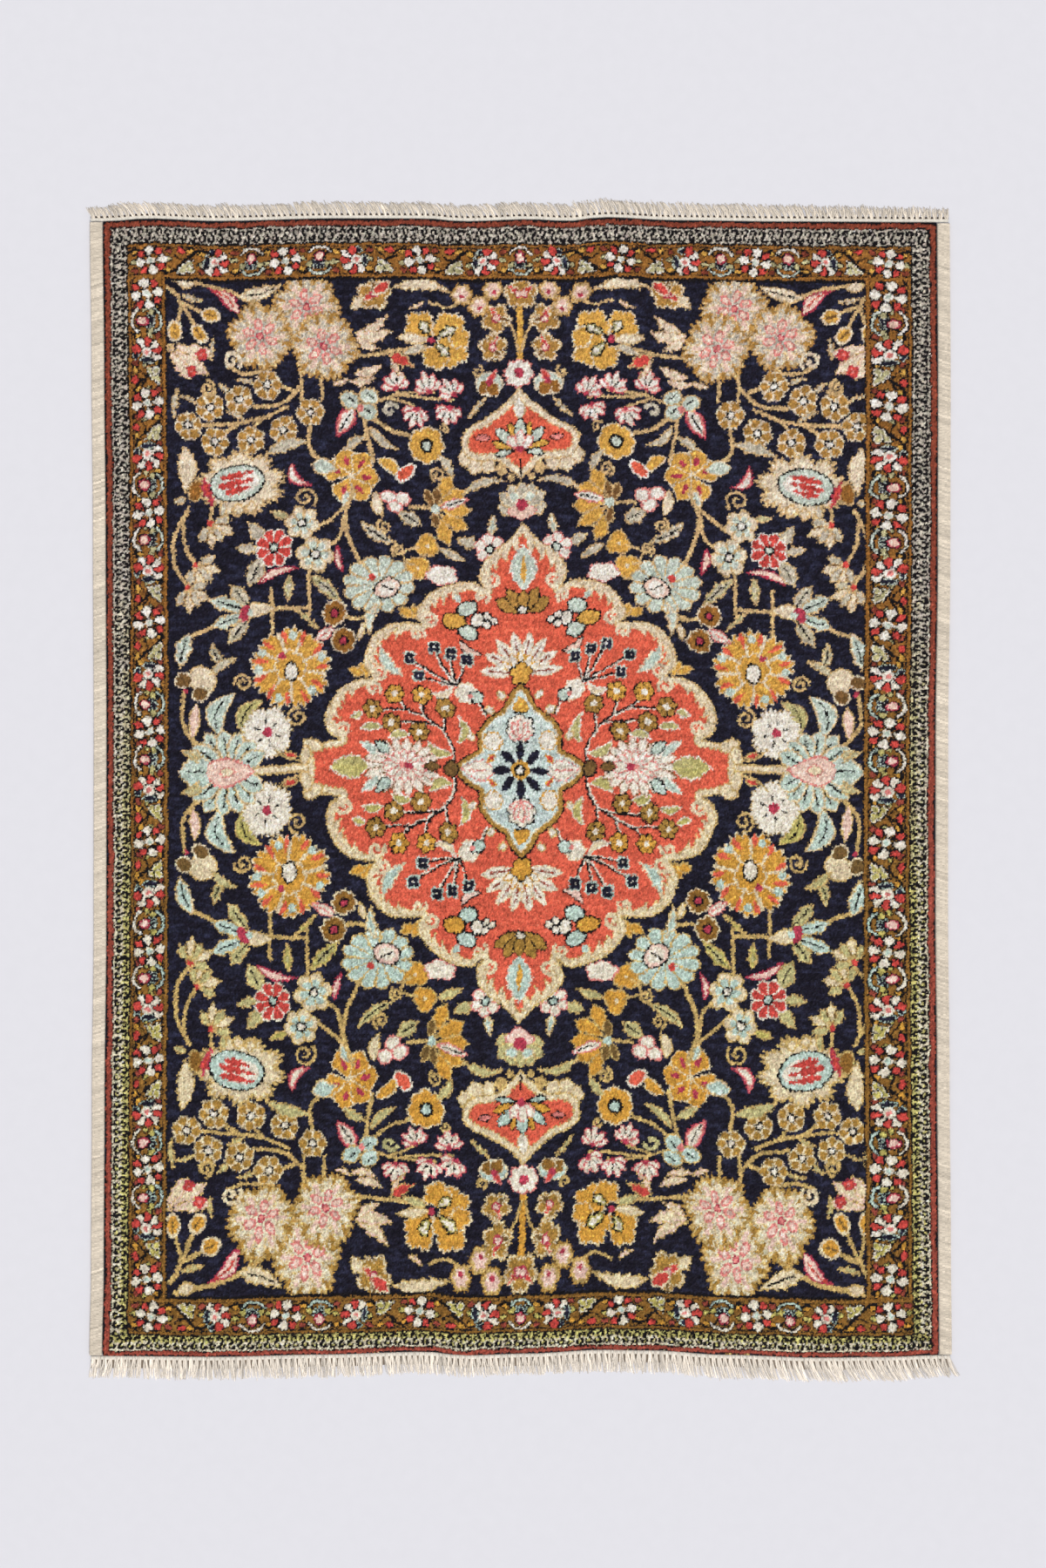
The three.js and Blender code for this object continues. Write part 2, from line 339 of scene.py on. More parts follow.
def thistle(chart, at):
    """A pale flower with hairy petals and six pink loops round its heart."""
    chart.blossom(at, THISTLE * 0.9, 6, {"honey": 0, "tan": 2, "bone": 6}, 10, 0.18, hairs=34)
    for angle in range(0, 360, 30):
        fill = "bone" if angle % 60 else "blush"
        chart.leaf(toward(at, angle, 9), toward(at, angle, THISTLE * 0.84), 13,
                   {"tan": 0, "cream": 1, fill: 2.6}, belly=0.6, teeth=3)
    for angle in range(15, 375, 30):
        root, tip = (toward(at, angle, THISTLE * share) for share in (0.6, 0.96))
        chart.leaf(root, tip, 5, {"honey": 0}, belly=0.6)
    chart.dot(at, 16, "bone")
    for angle in range(20, 380, 60):
        chart.oval(toward(at, angle, 14), 7.6, 5, {"pink": 0, "blush": 2}, angle)
    eye(chart, at, 4.6, "crimson", "pink")


def tulip(chart, at, turn, reach):
    """A small open flower of five pointed petals with dark slits between them."""
    for lean in (-66, 66, -34, 34, 0):
        tip = toward(at, turn + lean, reach * (1 - abs(lean) / 260))
        edge = "crimson" if lean else "pink"
        chart.leaf(at, tip, reach * 0.44, {edge: 0, "pink": 0.8, "white": 2.1}, belly=0.56)
    for lean in (-19, 19):
        chart.stem([toward(at, turn + lean, 6), toward(at, turn + lean, reach * 0.62)], 1.3, "black")
    chart.dot(at, 3, "crimson")


def half_open(chart, at, turn, radius):
    """A brown flower with a ragged pale edge and a pink heart that looks out of it."""
    chart.blossom(at, radius, 5, {"tan": 0, "cream": 1, "honey": 3}, turn, 0.3, hairs=22)
    chart.leaf(at, toward(at, turn - 50, radius), radius * 0.6, {"cream": 0, "red": 1.4}, teeth=3)
    chart.leaf(at, toward(at, turn + 70, radius), radius * 0.45, {"cream": 0, "brown": 1.2})
    eye(chart, at, 5, "crimson", "blush")


def sprig(chart, at, turn):
    """A pale half-open flower on the side vine."""
    for lean, reach, yarn in (
        (-66, 24, "grey"), (66, 24, "grey"), (-30, 30, "cream"), (30, 29, "cream"), (0, 27, "grey"),
    ):
        chart.leaf(at, toward(at, turn + lean, reach), 14, {"tan": 0, yarn: OUTLINE}, belly=0.58, teeth=3)
    for lean in (-46, 14, 48):
        chart.stem([toward(at, turn + lean, 8), toward(at, turn + lean, 19)], 1.3, "brown")
    chart.dot(at, 3.5, "red")

# %% [markdown]
# ## Drawing the field
# The ground is navy. Everything is drawn for one quarter only, with u measured outwards from the
# long axis and v from the medallion's middle towards the far end. Later each knot folds its own
# place into this quarter, so every flower appears four times, as on the weaver's half-drawn paper.

# %% Corner bouquet
QUARTER_WIDE, QUARTER_HIGH = 480, 640
LEAF = {"tan": 0, "grey": OUTLINE}
PALE_LEAF = {"tan": 0, "cream": OUTLINE}
MINT_LEAF = {"tan": 0, "cream": 1.2, "mint": 2.8}
GOLD_BUD = {"cream": 0, "gold": OUTLINE}
PINK_BUD = {"pink": 0, "white": OUTLINE}
GOLD_LEAF = {"tan": 0, "gold": OUTLINE}
LIME_LEAF = {"tan": 0, "lime": OUTLINE}
SILVER_LEAF = {"white": 0, "lime": OUTLINE}
STEM_WIDE = 4.4
field = Chart(QUARTER_WIDE, QUARTER_HIGH, "navy")
# The brushes of this one chart, under short names.
leaf, stem, oval, dot = field.leaf, field.stem, field.oval, field.dot
blossom, curl = field.blossom, field.curl
for run in (
    [(396, 558), (362, 553), (330, 545), (262, 514)],
    [(250, 470), (250, 424)],
    [(227, 456), (227, 424)],
    [(252, 438), (273, 420), (306, 415)],
    [(268, 415), (296, 403), (330, 397), (366, 394)],
    [(322, 398), (338, 388), (352, 376)],
    [(296, 403), (306, 392), (311, 380)],
    [(262, 434), (280, 441)],
    [(264, 402), (272, 390)],
    [(242, 396), (242, 362), (205, 340)],
    [(336, 461), (318, 454), (290, 456)],
    [(200, 472), (170, 473), (130, 480)],
):
    stem(run, STEM_WIDE, "tan")
for at in ((243, 529), (297, 495), (223, 483)):
    thistle(field, at)
for number, at in enumerate(
    ((290, 440), (323, 424), (358, 416), (383, 393), (353, 375), (311, 377), (273, 388), (241, 409))
):
    rosette(field, at, turn=number * 17)
stem([(402, 549), (392, 540), (388, 528)], STEM_WIDE, "tan")
for tip, turn in (((396, 500), 90), ((368, 498), 50), ((354, 519), 15)):
    stem([(387, 532), tip], 4, "tan")
    oval(tip, 12, 8.5, {"cream": 0, "gold": 2.2}, turn)
    stem([toward(tip, turn, 7), toward(tip, turn, -4)], 2.4, "brown")
leaf((360, 550), (322, 521), 15, {"crimson": 0, "blush": 2.2}, bend=-0.12, belly=0.66, vein="red")
leaf((324, 541), (272, 555), 19, PALE_LEAF, bend=0.06, teeth=5, vein="black")
leaf((392, 556), (372, 552), 12, PALE_LEAF)
for tip in ((352, 474), (358, 452), (380, 446)):
    leaf((408, 486), tip, 18, {"tan": 0, "blush": 1.4, "cream": 3.4}, belly=0.66, teeth=4)
for at in ((367, 475), (378, 456)):
    blossom(at, 7.5, 4, {"crimson": 0, "red": 1.2}, 20, 0.25)
    dot(at, 1.8, "pink")
for root, tip, wide in (
    ((352, 494), (355, 467), 9),
    ((396, 437), (399, 402), 10),
    ((335, 430), (348, 443), 10),
    ((318, 400), (339, 411), 9),
    ((372, 420), (395, 428), 8),
    ((303, 441), (327, 447), 9),
    ((246, 375), (296, 360), 17),
    ((388, 541), (362, 536), 9),
):
    leaf(root, tip, wide, LEAF, bend=0.06, teeth=4)
curl((332, 467), 12, "cream", turn=210, hand=-1, turns=1.2, wide=4.4)
curl((360, 437), 10, "tan", turn=200, turns=0.95)

# %% Far end, either side of the axis
stem([(0, 541), (0, 470)], 7, "gold")
stem([(20, 520), (8, 500), (2, 478)], 3, "tan")
stem([(60, 536), (48, 522), (40, 528)], 3, "tan")
for at, turn in (((3, 543), 90), ((28, 516), 120), ((31, 483), 160)):
    half_open(field, at, turn, 16)
for at in ((69, 545), (33, 549), (48, 531)):
    blossom(at, 11.5, 6, {"honey": 0, "tan": 1.4, "blush": 4.5}, notch=0.18, hairs=20)
    dot(toward(at, 250, 3), 2.6, "crimson")
blossom((0, 452), 18, 8, PINK_BUD, notch=0.2)
dot((0, 452), 6, "crimson")
leaf((146, 552), (82, 547), 16, PALE_LEAF, bend=-0.08, teeth=6)
half_open(field, (166, 545), 20, 18)
leaf((168, 546), (148, 558), 14, {"cream": 0, "red": OUTLINE})
leaf((178, 542), (192, 528), 16, PALE_LEAF, teeth=3)
stem([(104, 535), (86, 530), (70, 536)], 3, "tan")
for at, radius in (((115, 507), 17), ((82, 505), 19), ((80, 480), 19), ((97, 471), 15), ((70, 494), 12)):
    blossom(at, radius, 5, GOLD_BUD, radius * 7, 0.24, hairs=18)
for lean, reach in ((62, 24), (152, 34), (222, 30)):
    tip = toward((103, 492), lean, reach)
    leaf((103, 492), tip, 16, {"black": 0, "lime": 2.2, "white": 4}, belly=0.68, teeth=3)
leaf((106, 490), (142, 494), 13, PALE_LEAF)
leaf((108, 484), (136, 474), 11, LEAF)
dot((103, 491), 4, "crimson")
leaf((120, 458), (150, 473), 17, {"tan": 0, "red": OUTLINE}, belly=0.6, teeth=3)
for run in (
    [(166, 420), (140, 428), (100, 431)],
    [(142, 427), (108, 424), (78, 423)],
    [(150, 424), (126, 416), (112, 406)],
    [(143, 428), (143, 436)],
):
    stem(run, 3, "tan")
for at, turn in (
    ((143, 434), 80), ((104, 432), 70), ((76, 428), 60), ((120, 411), 290), ((82, 415), 280),
):
    tulip(field, at, turn, 24)
oval((34, 441), 17, 14, {"cream": 0, "mint": OUTLINE})
for tip in ((46, 430), (25, 426)):
    leaf((34, 444), tip, 17, {"cream": 0, "ochre": 1.5})
leaf((36, 440), (25, 458), 9, {"pink": 0, "red": 1.5})
dot((33, 444), 4, "crimson")
leaf((38, 426), (60, 402), 9, LEAF, teeth=4)
curl((49, 456), 7, "tan", turn=120, turns=1)
curl((87, 389), 6, "tan", turn=20, turns=1.1, wide=2.6)
for root, tip, wide in (
    ((188, 498), (150, 521), 15), ((188, 498), (146, 501), 17), ((186, 496), (160, 480), 14),
    ((190, 452), (158, 462), 14), ((196, 444), (166, 448), 12), ((148, 470), (132, 446), 9),
    ((128, 528), (112, 536), 8), ((214, 440), (196, 446), 10),
):
    leaf(root, tip, wide, {"tan": 0, "blush": 1.2, "cream": 2.6}, bend=0.1, teeth=3)

# %% Iris and gold flower beside the pendant
for run in (
    [(180, 404), (177, 380), (172, 352)],
    [(166, 400), (150, 388), (134, 384), (120, 376)],
):
    stem(run, STEM_WIDE, "tan")
leaf((192, 414), (213, 381), 20, {"crimson": 0, "pink": 1.6, "white": 4}, belly=0.4, vein="black")
for at in ((195, 422), (174, 427), (176, 410)):
    oval(at, 12, 10, {"tan": 0, "mint": OUTLINE}, 30)
    stem([toward(at, 200, 4), toward(at, 60, 4)], 2, "black")
dot((184, 414), 4, "pink")
leaf((174, 394), (143, 367), 11, LEAF, bend=0.12)
leaf((178, 381), (208, 361), 13, LEAF, bend=0.1, teeth=4)
curl((151, 410), 9, "grey", turn=150, hand=-1, turns=0.8, wide=5)
blossom((109, 371), 22, 8, GOLD_BUD, notch=0.14)
eye(field, (109, 371), 8.5, "black", "mint")
leaf((96, 360), (78, 336), 14, LEAF, bend=-0.1, teeth=3)
for at, radius, turn, hand in (
    ((97, 338), 9, 300, 1), ((160, 277), 9, 60, -1), ((250, 309), 13, 220, -1), ((320, 100), 11, 0, 1),
    ((258, 57), 12, 90, -1), ((143, 249), 8, 300, 1), ((360, 437), 9, 90, 1),
):
    curl(at, radius, "tan", turn, hand)

# %% Pomegranate and the side of the field
leaf((389, 370), (387, 316), 24, PALE_LEAF, bend=-0.06, teeth=6)
blossom((322, 327), 46, 9, {"tan": 0, "cream": 6}, 8, 0.22, squash=0.76, hairs=40)
oval((327, 327), 33, 22, {"black": 0, "mint": 1.8}, -10)
oval((322, 328), 21, 13, {"white": 0}, -10)
for root, tip in (((346, 332), (306, 340)), ((348, 322), (306, 331)), ((341, 315), (311, 322))):
    leaf(root, tip, 11, {"red": 0}, belly=0.35, teeth=4)
oval((374, 318), 9, 13, {"tan": 0, "ochre": 1.5}, 12)
leaf((367, 334), (355, 300), 12, {"crimson": 0, "red": 2}, teeth=4)
leaf((341, 306), (343, 288), 9, LEAF)
for at in ((325, 296), (310, 299)):
    blossom(at, 8, 4, {"tan": 0, "cream": 3})
leaf((385, 309), (400, 304), 8, LEAF)
leaf((264, 351), (242, 324), 13, {"crimson": 0, "pink": 1.5, "white": 3.5}, bend=0.28)
GOLD_FLOWER = (198, 336)
for lean in (20, 75, 130, 185, 240, 295):
    leaf(GOLD_FLOWER, toward(GOLD_FLOWER, lean, 34), 30, GOLD_BUD, belly=0.62, teeth=2)
    leaf(toward(GOLD_FLOWER, lean, 12), toward(GOLD_FLOWER, lean, 25), 6, {"crimson": 0})
leaf((212, 343), (242, 349), 20, MINT_LEAF, belly=0.6)
leaf((200, 318), (208, 298), 12, MINT_LEAF)
leaf((168, 356), (140, 334), 15, GOLD_BUD, bend=-0.1)
oval((135, 340), 14, 8, {"white": 0, "coral": OUTLINE}, -40)
leaf((170, 318), (162, 288), 14, PALE_LEAF, bend=0.1)
for at in ((156, 313), (147, 300), (139, 310)):
    oval(at, 10, 8, PINK_BUD, 20)
leaf((142, 293), (116, 279), 20, LEAF, teeth=3, vein="black")
stem([(130, 301), (112, 300), (100, 300)], 4, "tan")
for lean in (120, 150, 180, 210, 245):
    tip = toward((102, 300), lean, 46)
    leaf((104, 300), tip, 20, GOLD_LEAF, belly=0.66, teeth=3)
for tip in ((96, 324), (99, 276), (112, 322)):
    leaf((102, 300), tip, 12, {"tan": 0, "brown": OUTLINE}, belly=0.6)
leaf((94, 303), (58, 313), 12, PINK_BUD, vein="black")
dot((100, 300), 5, "mint")
leaf((67, 318), (17, 329), 13, LEAF, bend=-0.14, teeth=4)
for at, turn in (((109, 255), 90), ((120, 229), 270)):
    blossom(at, 15, 3, GOLD_LEAF, turn, 0.25)
    dot(at, 2.2, "cream")
for run in ([(140, 246), (130, 250), (118, 253)], [(137, 244), (134, 236), (126, 232)]):
    stem(run, 3, "tan")
leaf((94, 254), (64, 241), 11, LEAF)
leaf((50, 258), (75, 267), 16, LEAF, teeth=3)
leaf((37, 268), (32, 294), 13, MINT_LEAF, teeth=3)
blossom((38, 255), 18, 6, PINK_BUD, 20, 0.25, ribs="pink")
eye(field, (38, 255), 6, "black", "mint")
leaf((188, 282), (145, 257), 16, LEAF, bend=0.08, teeth=4, vein="black")
stem([(195, 320), (205, 280), (188, 236), (176, 222)], 5, "tan")
for run in ([(203, 300), (222, 284), (244, 268)], [(206, 290), (212, 262), (232, 248)]):
    stem(run, 4, "tan")
leaf((213, 252), (205, 222), 9, {"crimson": 0, "blush": 2}, bend=0.1)
for at, radius in (((253, 279), 20), ((238, 243), 22)):
    blossom(at, radius, 6, {"tan": 0, "cream": OUTLINE, "mint": 7}, 12, 0.25, ribs="tan")
    eye(field, at, 5.8, "black", "white")
leaf((268, 286), (290, 292), 9, LIME_LEAF)
for root, tip, wide, vein in (
    ((296, 258), (314, 282), 18, None),
    ((300, 250), (328, 254), 14, None),
    ((297, 240), (312, 210), 23, "black"),
):
    leaf(root, tip, wide, LEAF, teeth=3, vein=vein)
blossom((284, 252), 22, 8, {"white": 0, "red": OUTLINE}, 22, 0.2, ribs="white")
eye(field, (284, 252), 5.8, "black", "mint")
blossom((164, 209), 43, 12, {"tan": 0, "mint": 2.2}, 10, 0.16, squash=0.8, ribs="tan")
oval((154, 205), 17, 13, {"black": 0, "blush": 1.8, "white": 5}, -25)
stem([(162, 209), (148, 203)], 2, "black")
dot((173, 217), 4.5, "red")

# %% Side vine, bell and lotus
for run in (
    [(382, 300), (396, 271), (397, 237), (381, 212)],
    [(388, 288), (385, 258), (374, 238)],
    [(286, 206), (286, 150)],
    [(285, 184), (244, 184)],
    [(244, 224), (244, 176)],
    [(318, 186), (345, 168), (384, 152)],
    [(388, 88), (391, 56), (379, 36), (362, 24)],
    [(212, 190), (200, 172), (176, 172)],
):
    stem(run, STEM_WIDE, "tan")
stem([(356, 300), (356, 284)], 4, "tan")
for at, turn in (((356, 282), 235), ((372, 236), 225), ((381, 210), 235)):
    sprig(field, at, turn)
leaf((302, 212), (256, 227), 10, {"crimson": 0, "blush": 1.8}, bend=-0.12)
for root, tip, wide, vein in (
    ((266, 220), (267, 190), 14, None),
    ((241, 219), (207, 188), 18, "black"),
    ((260, 184), (232, 158), 9, None),
):
    leaf(root, tip, wide, {"tan": 0, "lime": OUTLINE, "grey": 4}, teeth=3, vein=vein)
for lean, reach, yarn in ((52, 40, "grey"), (20, 52, "mint"), (-18, 50, "mint"), (-52, 46, "grey")):
    tip = toward((308, 181), lean, reach)
    leaf((306, 181), tip, 19, {"tan": 0, yarn: OUTLINE}, belly=0.62, teeth=3, vein="black")
leaf((316, 182), (282, 186), 17, PALE_LEAF, belly=0.35)
oval((317, 180), 6, 10, {"crimson": 0}, 20)
dot((310, 180), 4, "mint")
leaf((378, 158), (392, 116), 22, MINT_LEAF, bend=0.06, vein="black", teeth=3)
leaf((352, 148), (340, 116), 14, LEAF, bend=0.1, teeth=4, vein="black")
LOTUS = (265, 115)
blossom(LOTUS, 42, 9, {"cream": 0, "gold": 2}, 12, 0.12, hairs=30, ribs="cream")
for lean in range(12, 372, 33):
    leaf(toward(LOTUS, lean + 6, 27), toward(LOTUS, lean, 45), 6, {"coral": 0}, belly=0.6)
for lean in range(29, 389, 66):
    dot(toward(LOTUS, lean, 37), 5, "mint")
blossom((265, 117), 20, 8, {"cream": 0, "gold": 2}, notch=0.2)
oval((265, 111), 9, 13, {"black": 0, "white": 1.8})
dot((275, 129), 4, "crimson")
for at in ((214, 176), (203, 146)):
    blossom(at, 15, 8, {"cream": 0, "ochre": OUTLINE}, notch=0.14)
    eye(field, at, 6, "black", "crimson")
leaf((214, 160), (238, 146), 13, PINK_BUD, vein="pink")
leaf((166, 188), (172, 150), 15, MINT_LEAF, bend=0.1, teeth=3)
leaf((180, 166), (186, 146), 9, PALE_LEAF)
oval((366, 105), 17, 15, PALE_LEAF, 30)
for at in ((388, 103), (369, 88)):
    oval(at, 11, 9, {"cream": 0, "brown": OUTLINE}, -30)
dot((386, 90), 3, "crimson")
leaf((358, 109), (326, 128), 14, LEAF, bend=-0.08, teeth=5)
leaf((375, 76), (380, 36), 13, {"tan": 0, "blush": OUTLINE})
leaf((330, 88), (344, 34), 24, MINT_LEAF, bend=0.3, vein="black")
leaf((298, 80), (318, 34), 19, LIME_LEAF, bend=0.28, vein="black")
SHAGGY_FLOWER = (294, 42)
blossom(SHAGGY_FLOWER, 27, 7, {"tan": 0, "white": 1}, 10, 0.14, hairs=30)
for lean in range(20, 380, 60):
    stem([toward(SHAGGY_FLOWER, lean, 10), toward(SHAGGY_FLOWER, lean, 15)], 2.2, "black")
dot(SHAGGY_FLOWER, 5.4, "crimson")

# %% Palmette on the cross axis
for wide, yarn in ((10, "tan"), (5, "cream")):
    stem([(318, 0), (247, 0)], wide, yarn)
for tip in ((366, 44), (346, 47), (326, 44), (309, 34), (298, 20), (380, 30)):
    leaf((338, 0), tip, 22, MINT_LEAF, belly=0.64, vein="black")
leaf((350, 0), (396, 0), 38, MINT_LEAF, belly=0.5, vein="black")
for root, tip in (((372, 10), (394, 24)), ((372, 14), (384, 26))):
    leaf(root, tip, 9, LEAF, bend=0.12)
leaf((364, 0), (308, 0), 33, {"pink": 0, "blush": 2.4}, belly=0.34)
leaf((350, 0), (330, 0), 14, {"pink": 0, "cream": 2})
stem([(286, 22), (272, 12), (256, 8)], 2.6, "tan")
leaf((276, 18), (258, 12), 8, {"tan": 0, "red": 1.6})
# %% [markdown]
# ## The medallion and its pendants
# The coral medallion is a panel whose edge is a row of lobes. Only a few points are written for
# each lobe, and a smooth run goes through them. The cream band inside the edge then follows by depth,
# and a slow wave along the run gives the band its scalloped inner side.

# %% Medallion edge
LOBES = (
    [(0, 283), (14, 266), (36, 249), (48, 233), (49, 219), (42, 208)],
    [(42, 208), (56, 217), (78, 214), (102, 202), (116, 186), (120, 173), (114, 164)],
    [(114, 164), (132, 166), (151, 163), (169, 149), (178, 130), (178, 114), (169, 103)],
    [(169, 103), (187, 101), (206, 92), (219, 75), (226, 55), (221, 39), (209, 31)],
    [(209, 31), (232, 28), (250, 23), (247, 9), (247, 0)],
)
BAND = ((0, "tan"), (1.8, "cream"), (6.4, "tan"), (7.8, "coral"))
SCALLOP_LONG = 6        # mm along the band
SCALLOP_DEEP = 1.6
PLAIN_RIM = 4           # mm of the band that stays plain outside the scallops
FLAME = 15              # mm between the curled leaves of the edge, and how far each reaches in and along
FLAME_WIDE = 9
FLAME_ROOT = 6          # mm inside the edge


def within(run, u, v):
    """Whether each square lies inside a run of points that is closed through the inner corner."""
    ring = np.vstack([run, (0, 0)])
    inside = np.zeros(np.broadcast_shapes(u.shape, v.shape), bool)
    for (au, av), (bu, bv) in zip(ring, np.roll(ring, -1, 0)):
        if av != bv:
            inside ^= ((av > v) != (bv > v)) & (u < au + (v - av) / (bv - av) * (bu - au))
    return inside


def inlay(run, band, scallop=0):
    """Fills the field inside a run of points with one yarn inside another."""
    middle = (run.min(0) + run.max(0)) / 2
    where, u, v = field.near(middle, np.ptp(run, axis=0).max() / 2 + 4)
    gap, place = beside(run - middle, u, v)
    depth = np.where(within(run, u + middle[0], v + middle[1]), gap, -gap)
    wave = scallop * np.abs(np.sin(np.pi * place / SCALLOP_LONG))
    for inset, yarn in band:
        field.dye(where, depth - (wave if inset > PLAIN_RIM else 0), {yarn: inset})


def flames(run):
    """Small curled leaves that lick inwards from a band, all leaning the same way along it."""
    passed = np.cumsum(np.hypot(*np.diff(run, axis=0).T))
    for place in np.arange(FLAME, passed[-1] - FLAME, FLAME):
        at = np.searchsorted(passed, place)
        along = run[at + 1] - run[at]
        along = along / max(np.hypot(*along), NO_LENGTH)
        inward = np.array([along[1], -along[0]])
        root = run[at] + FLAME_ROOT * inward
        tip = root + FLAME * inward + FLAME * along
        leaf(root, tip, FLAME_WIDE, {"tan": 0, "cream": 0.9}, bend=0.26, belly=0.36)


medallion = np.vstack([catmull(points, per_span=6) for points in LOBES])
for root, lean in (
    ((118, 168), 75), ((174, 104), 60), ((178, 108), 15), ((122, 172), 30), ((212, 33), 60),
):
    leaf(root, toward(root, lean, 20), 12, GOLD_LEAF, belly=0.5)
blossom((92, 222), 20, 5, PINK_BUD, 60, 0.2, squash=0.6)
inlay(medallion, BAND, SCALLOP_DEEP)
for points in LOBES[:-1]:
    flames(catmull(points, per_span=6))
for at, turn, hand in (
    ((34, 216), 60, 1), ((46, 199), 230, -1), ((103, 168), 40, 1), ((118, 153), 200, -1),
    ((160, 107), 30, 1), ((168, 90), 200, -1), ((204, 42), 20, 1),
):
    curl(at, 9, "cream", turn, hand, turns=1.1, wide=4.4)
for at, across, along in (((240, 25), 13, 8), ((249, 14), 7, 12)):
    oval(at, across, along, PALE_LEAF, 15)
print("medallion edge", len(medallion), "points in a quarter")

# %% Flowers on the coral ground
leaf((0, 205), (0, 258), 32, {"white": 0, "mint": 1.6}, teeth=5)
leaf((0, 212), (0, 246), 6, {"gold": 0})
for tip, wide in (((30, 196), 17), ((18, 208), 15), ((0, 206), 16)):
    leaf((0, 176), tip, wide, {"black": 0, "honey": 1.6}, belly=0.6)
oval((0, 182), 7, 5, {"black": 0, "white": 1.5})
for at, across, along, yarn, turn in (
    ((62, 186), 13, 9.5, "mint", -20), ((61, 158), 13, 9.5, "mint", 20), ((76, 171), 15, 10, "gold", 0),
):
    oval(at, across, along, {"black": 0, yarn: 1.8}, turn)
oval((50, 172), 8, 10, {"black": 0, "white": 1.8})
for at in ((40, 176), (40, 166), (32, 170)):
    oval(at, 6.4, 4.8, {"black": 0, "white": 1.6}, 40)
leaf((70, 150), (44, 134), 11, {"black": 0, "blush": 1.8}, bend=0.2)
leaf((76, 195), (70, 200), 10, {"mint": 0})
leaf((160, 140), (134, 104), 17, {"cream": 0, "mint": 2}, bend=0.12, teeth=4)
BUNCH_ROOT = (72, 98)
for at in ((98, 138), (80, 133), (61, 127), (126, 126), (116, 106)):
    middle = (0.5 * at[0] + 0.5 * BUNCH_ROOT[0], 0.45 * at[1] + 0.55 * BUNCH_ROOT[1])
    stem([BUNCH_ROOT, middle, at], 2.2, "black", shadow="white")
    blossom(at, 8.8, 4, {"mint": 0, "navy": 1.8}, 45, 0.3)
    dot(at, 1.2, "white")
leaf((76, 98), (106, 88), 10, {"white": 0, "cream": 2}, bend=-0.25)
blossom((62, 90), 13, 6, {"cream": 0, "white": 1.5}, notch=0.15)
leaf((60, 92), (44, 80), 17, {"black": 0, "mint": 2}, belly=0.6)
dot((58, 86), 3, "pink")
stem([(46, 78), (40, 66)], 2.2, "black", shadow="white")
for run in (
    [(76, 10), (78, 27), (90, 45), (108, 58), (128, 68), (141, 82)],
    [(108, 58), (112, 74)],
    [(88, 42), (86, 60)],
    [(128, 67), (150, 66), (165, 67)],
    [(96, 50), (116, 52), (140, 52)],
):
    stem(run, 2.4, "black", shadow="white")
for number, at in enumerate(((143, 84), (112, 84), (86, 71), (169, 67), (148, 50), (117, 40))):
    fill = "gold" if number < 2 else "honey"
    blossom(at, 12.5, 6, {"black": 0, fill: 1.6}, number * 23, 0.24)
    for lean in range(30, 390, 60):
        stem([toward(at, lean + number * 23, 5), toward(at, lean + number * 23, 11)], 1.1, "black")
    dot(at, 3.4, "white")
for root, tip, wide, bend in (
    ((160, 45), (185, 43), 11, 0.1), ((128, 37), (152, 31), 12, 0.1), ((80, 17), (108, 29), 14, -0.2),
    ((72, 30), (74, 64), 12, 0.25), ((180, 62), (196, 56), 10, 0),
):
    leaf(root, tip, wide, SILVER_LEAF, bend)
for lean in range(0, 190, 20):
    tip = (138 + 46 * np.cos(np.radians(lean)), 34 * np.sin(np.radians(lean)))
    leaf((134, 0), tip, 11.5, {"brown": 0, "blush": 1, "white": 2.4}, belly=0.7)
for lean in range(9, 190, 26):
    tip = (134 + 27 * np.cos(np.radians(lean)), 20 * np.sin(np.radians(lean)))
    leaf((132, 0), tip, 9, {"pink": 0, "white": 1.5}, belly=0.6)
leaf((112, 0), (92, 0), 16, {"black": 0, "brown": 1.5}, teeth=3)
dot((129, 0), 4.5, "crimson")
leaf((164, 10), (186, 28), 11, {"white": 0, "mint": 1.5}, bend=0.1)
leaf((152, 14), (168, 30), 14, {"black": 0, "mint": 1.8}, belly=0.4)
leaf((176, 0), (222, 0), 30, SILVER_LEAF, teeth=5, belly=0.4)

# %% Pale panel in the middle
INNER_EDGE = [(0, 99), (10, 90), (21, 71), (40, 59), (50, 44), (49, 24), (64, 16), (74, 7), (76, 0)]
inlay(np.array(INNER_EDGE, float), ((-1.4, "black"), (0.4, "honey"), (5, "cream"), (6.4, "aqua")))
for at in ((36, 70), (58, 40), (22, 86)):
    oval(at, 6, 5, {"tan": 0, "white": 1.5}, 45)
oval((81, 0), 9, 10, {"black": 0, "brown": 1.8})
leaf((32, 0), (70, 0), 28, {"pink": 0, "white": 1.6}, teeth=4, belly=0.4)
stem([(40, 0), (62, 0)], 1.6, "pink")
blossom((0, 48), 18, 7, {"black": 0, "white": 1.6}, 90, 0.2)
for tip in ((14, 44), (9, 56), (0, 60)):
    leaf((0, 34), tip, 9, {"pink": 0, "white": 1.8}, belly=0.6)
blossom((33, 34), 12, 6, {"gold": 0, "white": 1.6}, notch=0.15)
leaf((29, 19), (39, 9), 7, {"gold": 0, "red": 1.4})
leaf((0, 67), (0, 85), 20, {"gold": 0}, belly=0.25)
stem([(0, 67), (7, 67)], 2.2, "black")
for lean, reach in ((0, 35), (45, 32), (90, 33)):
    leaf(toward((0, 0), lean, 7), toward((0, 0), lean, reach), 10.5, {"navy": 0}, belly=0.6)
dot((0, 0), 11, "gold")
eye(field, (0, 0), 7, "black", "white")
fan(field, (0, 110), 48, 90, 168, 8, 13, {"cream": 0, "white": 1.5}, vein="rust")
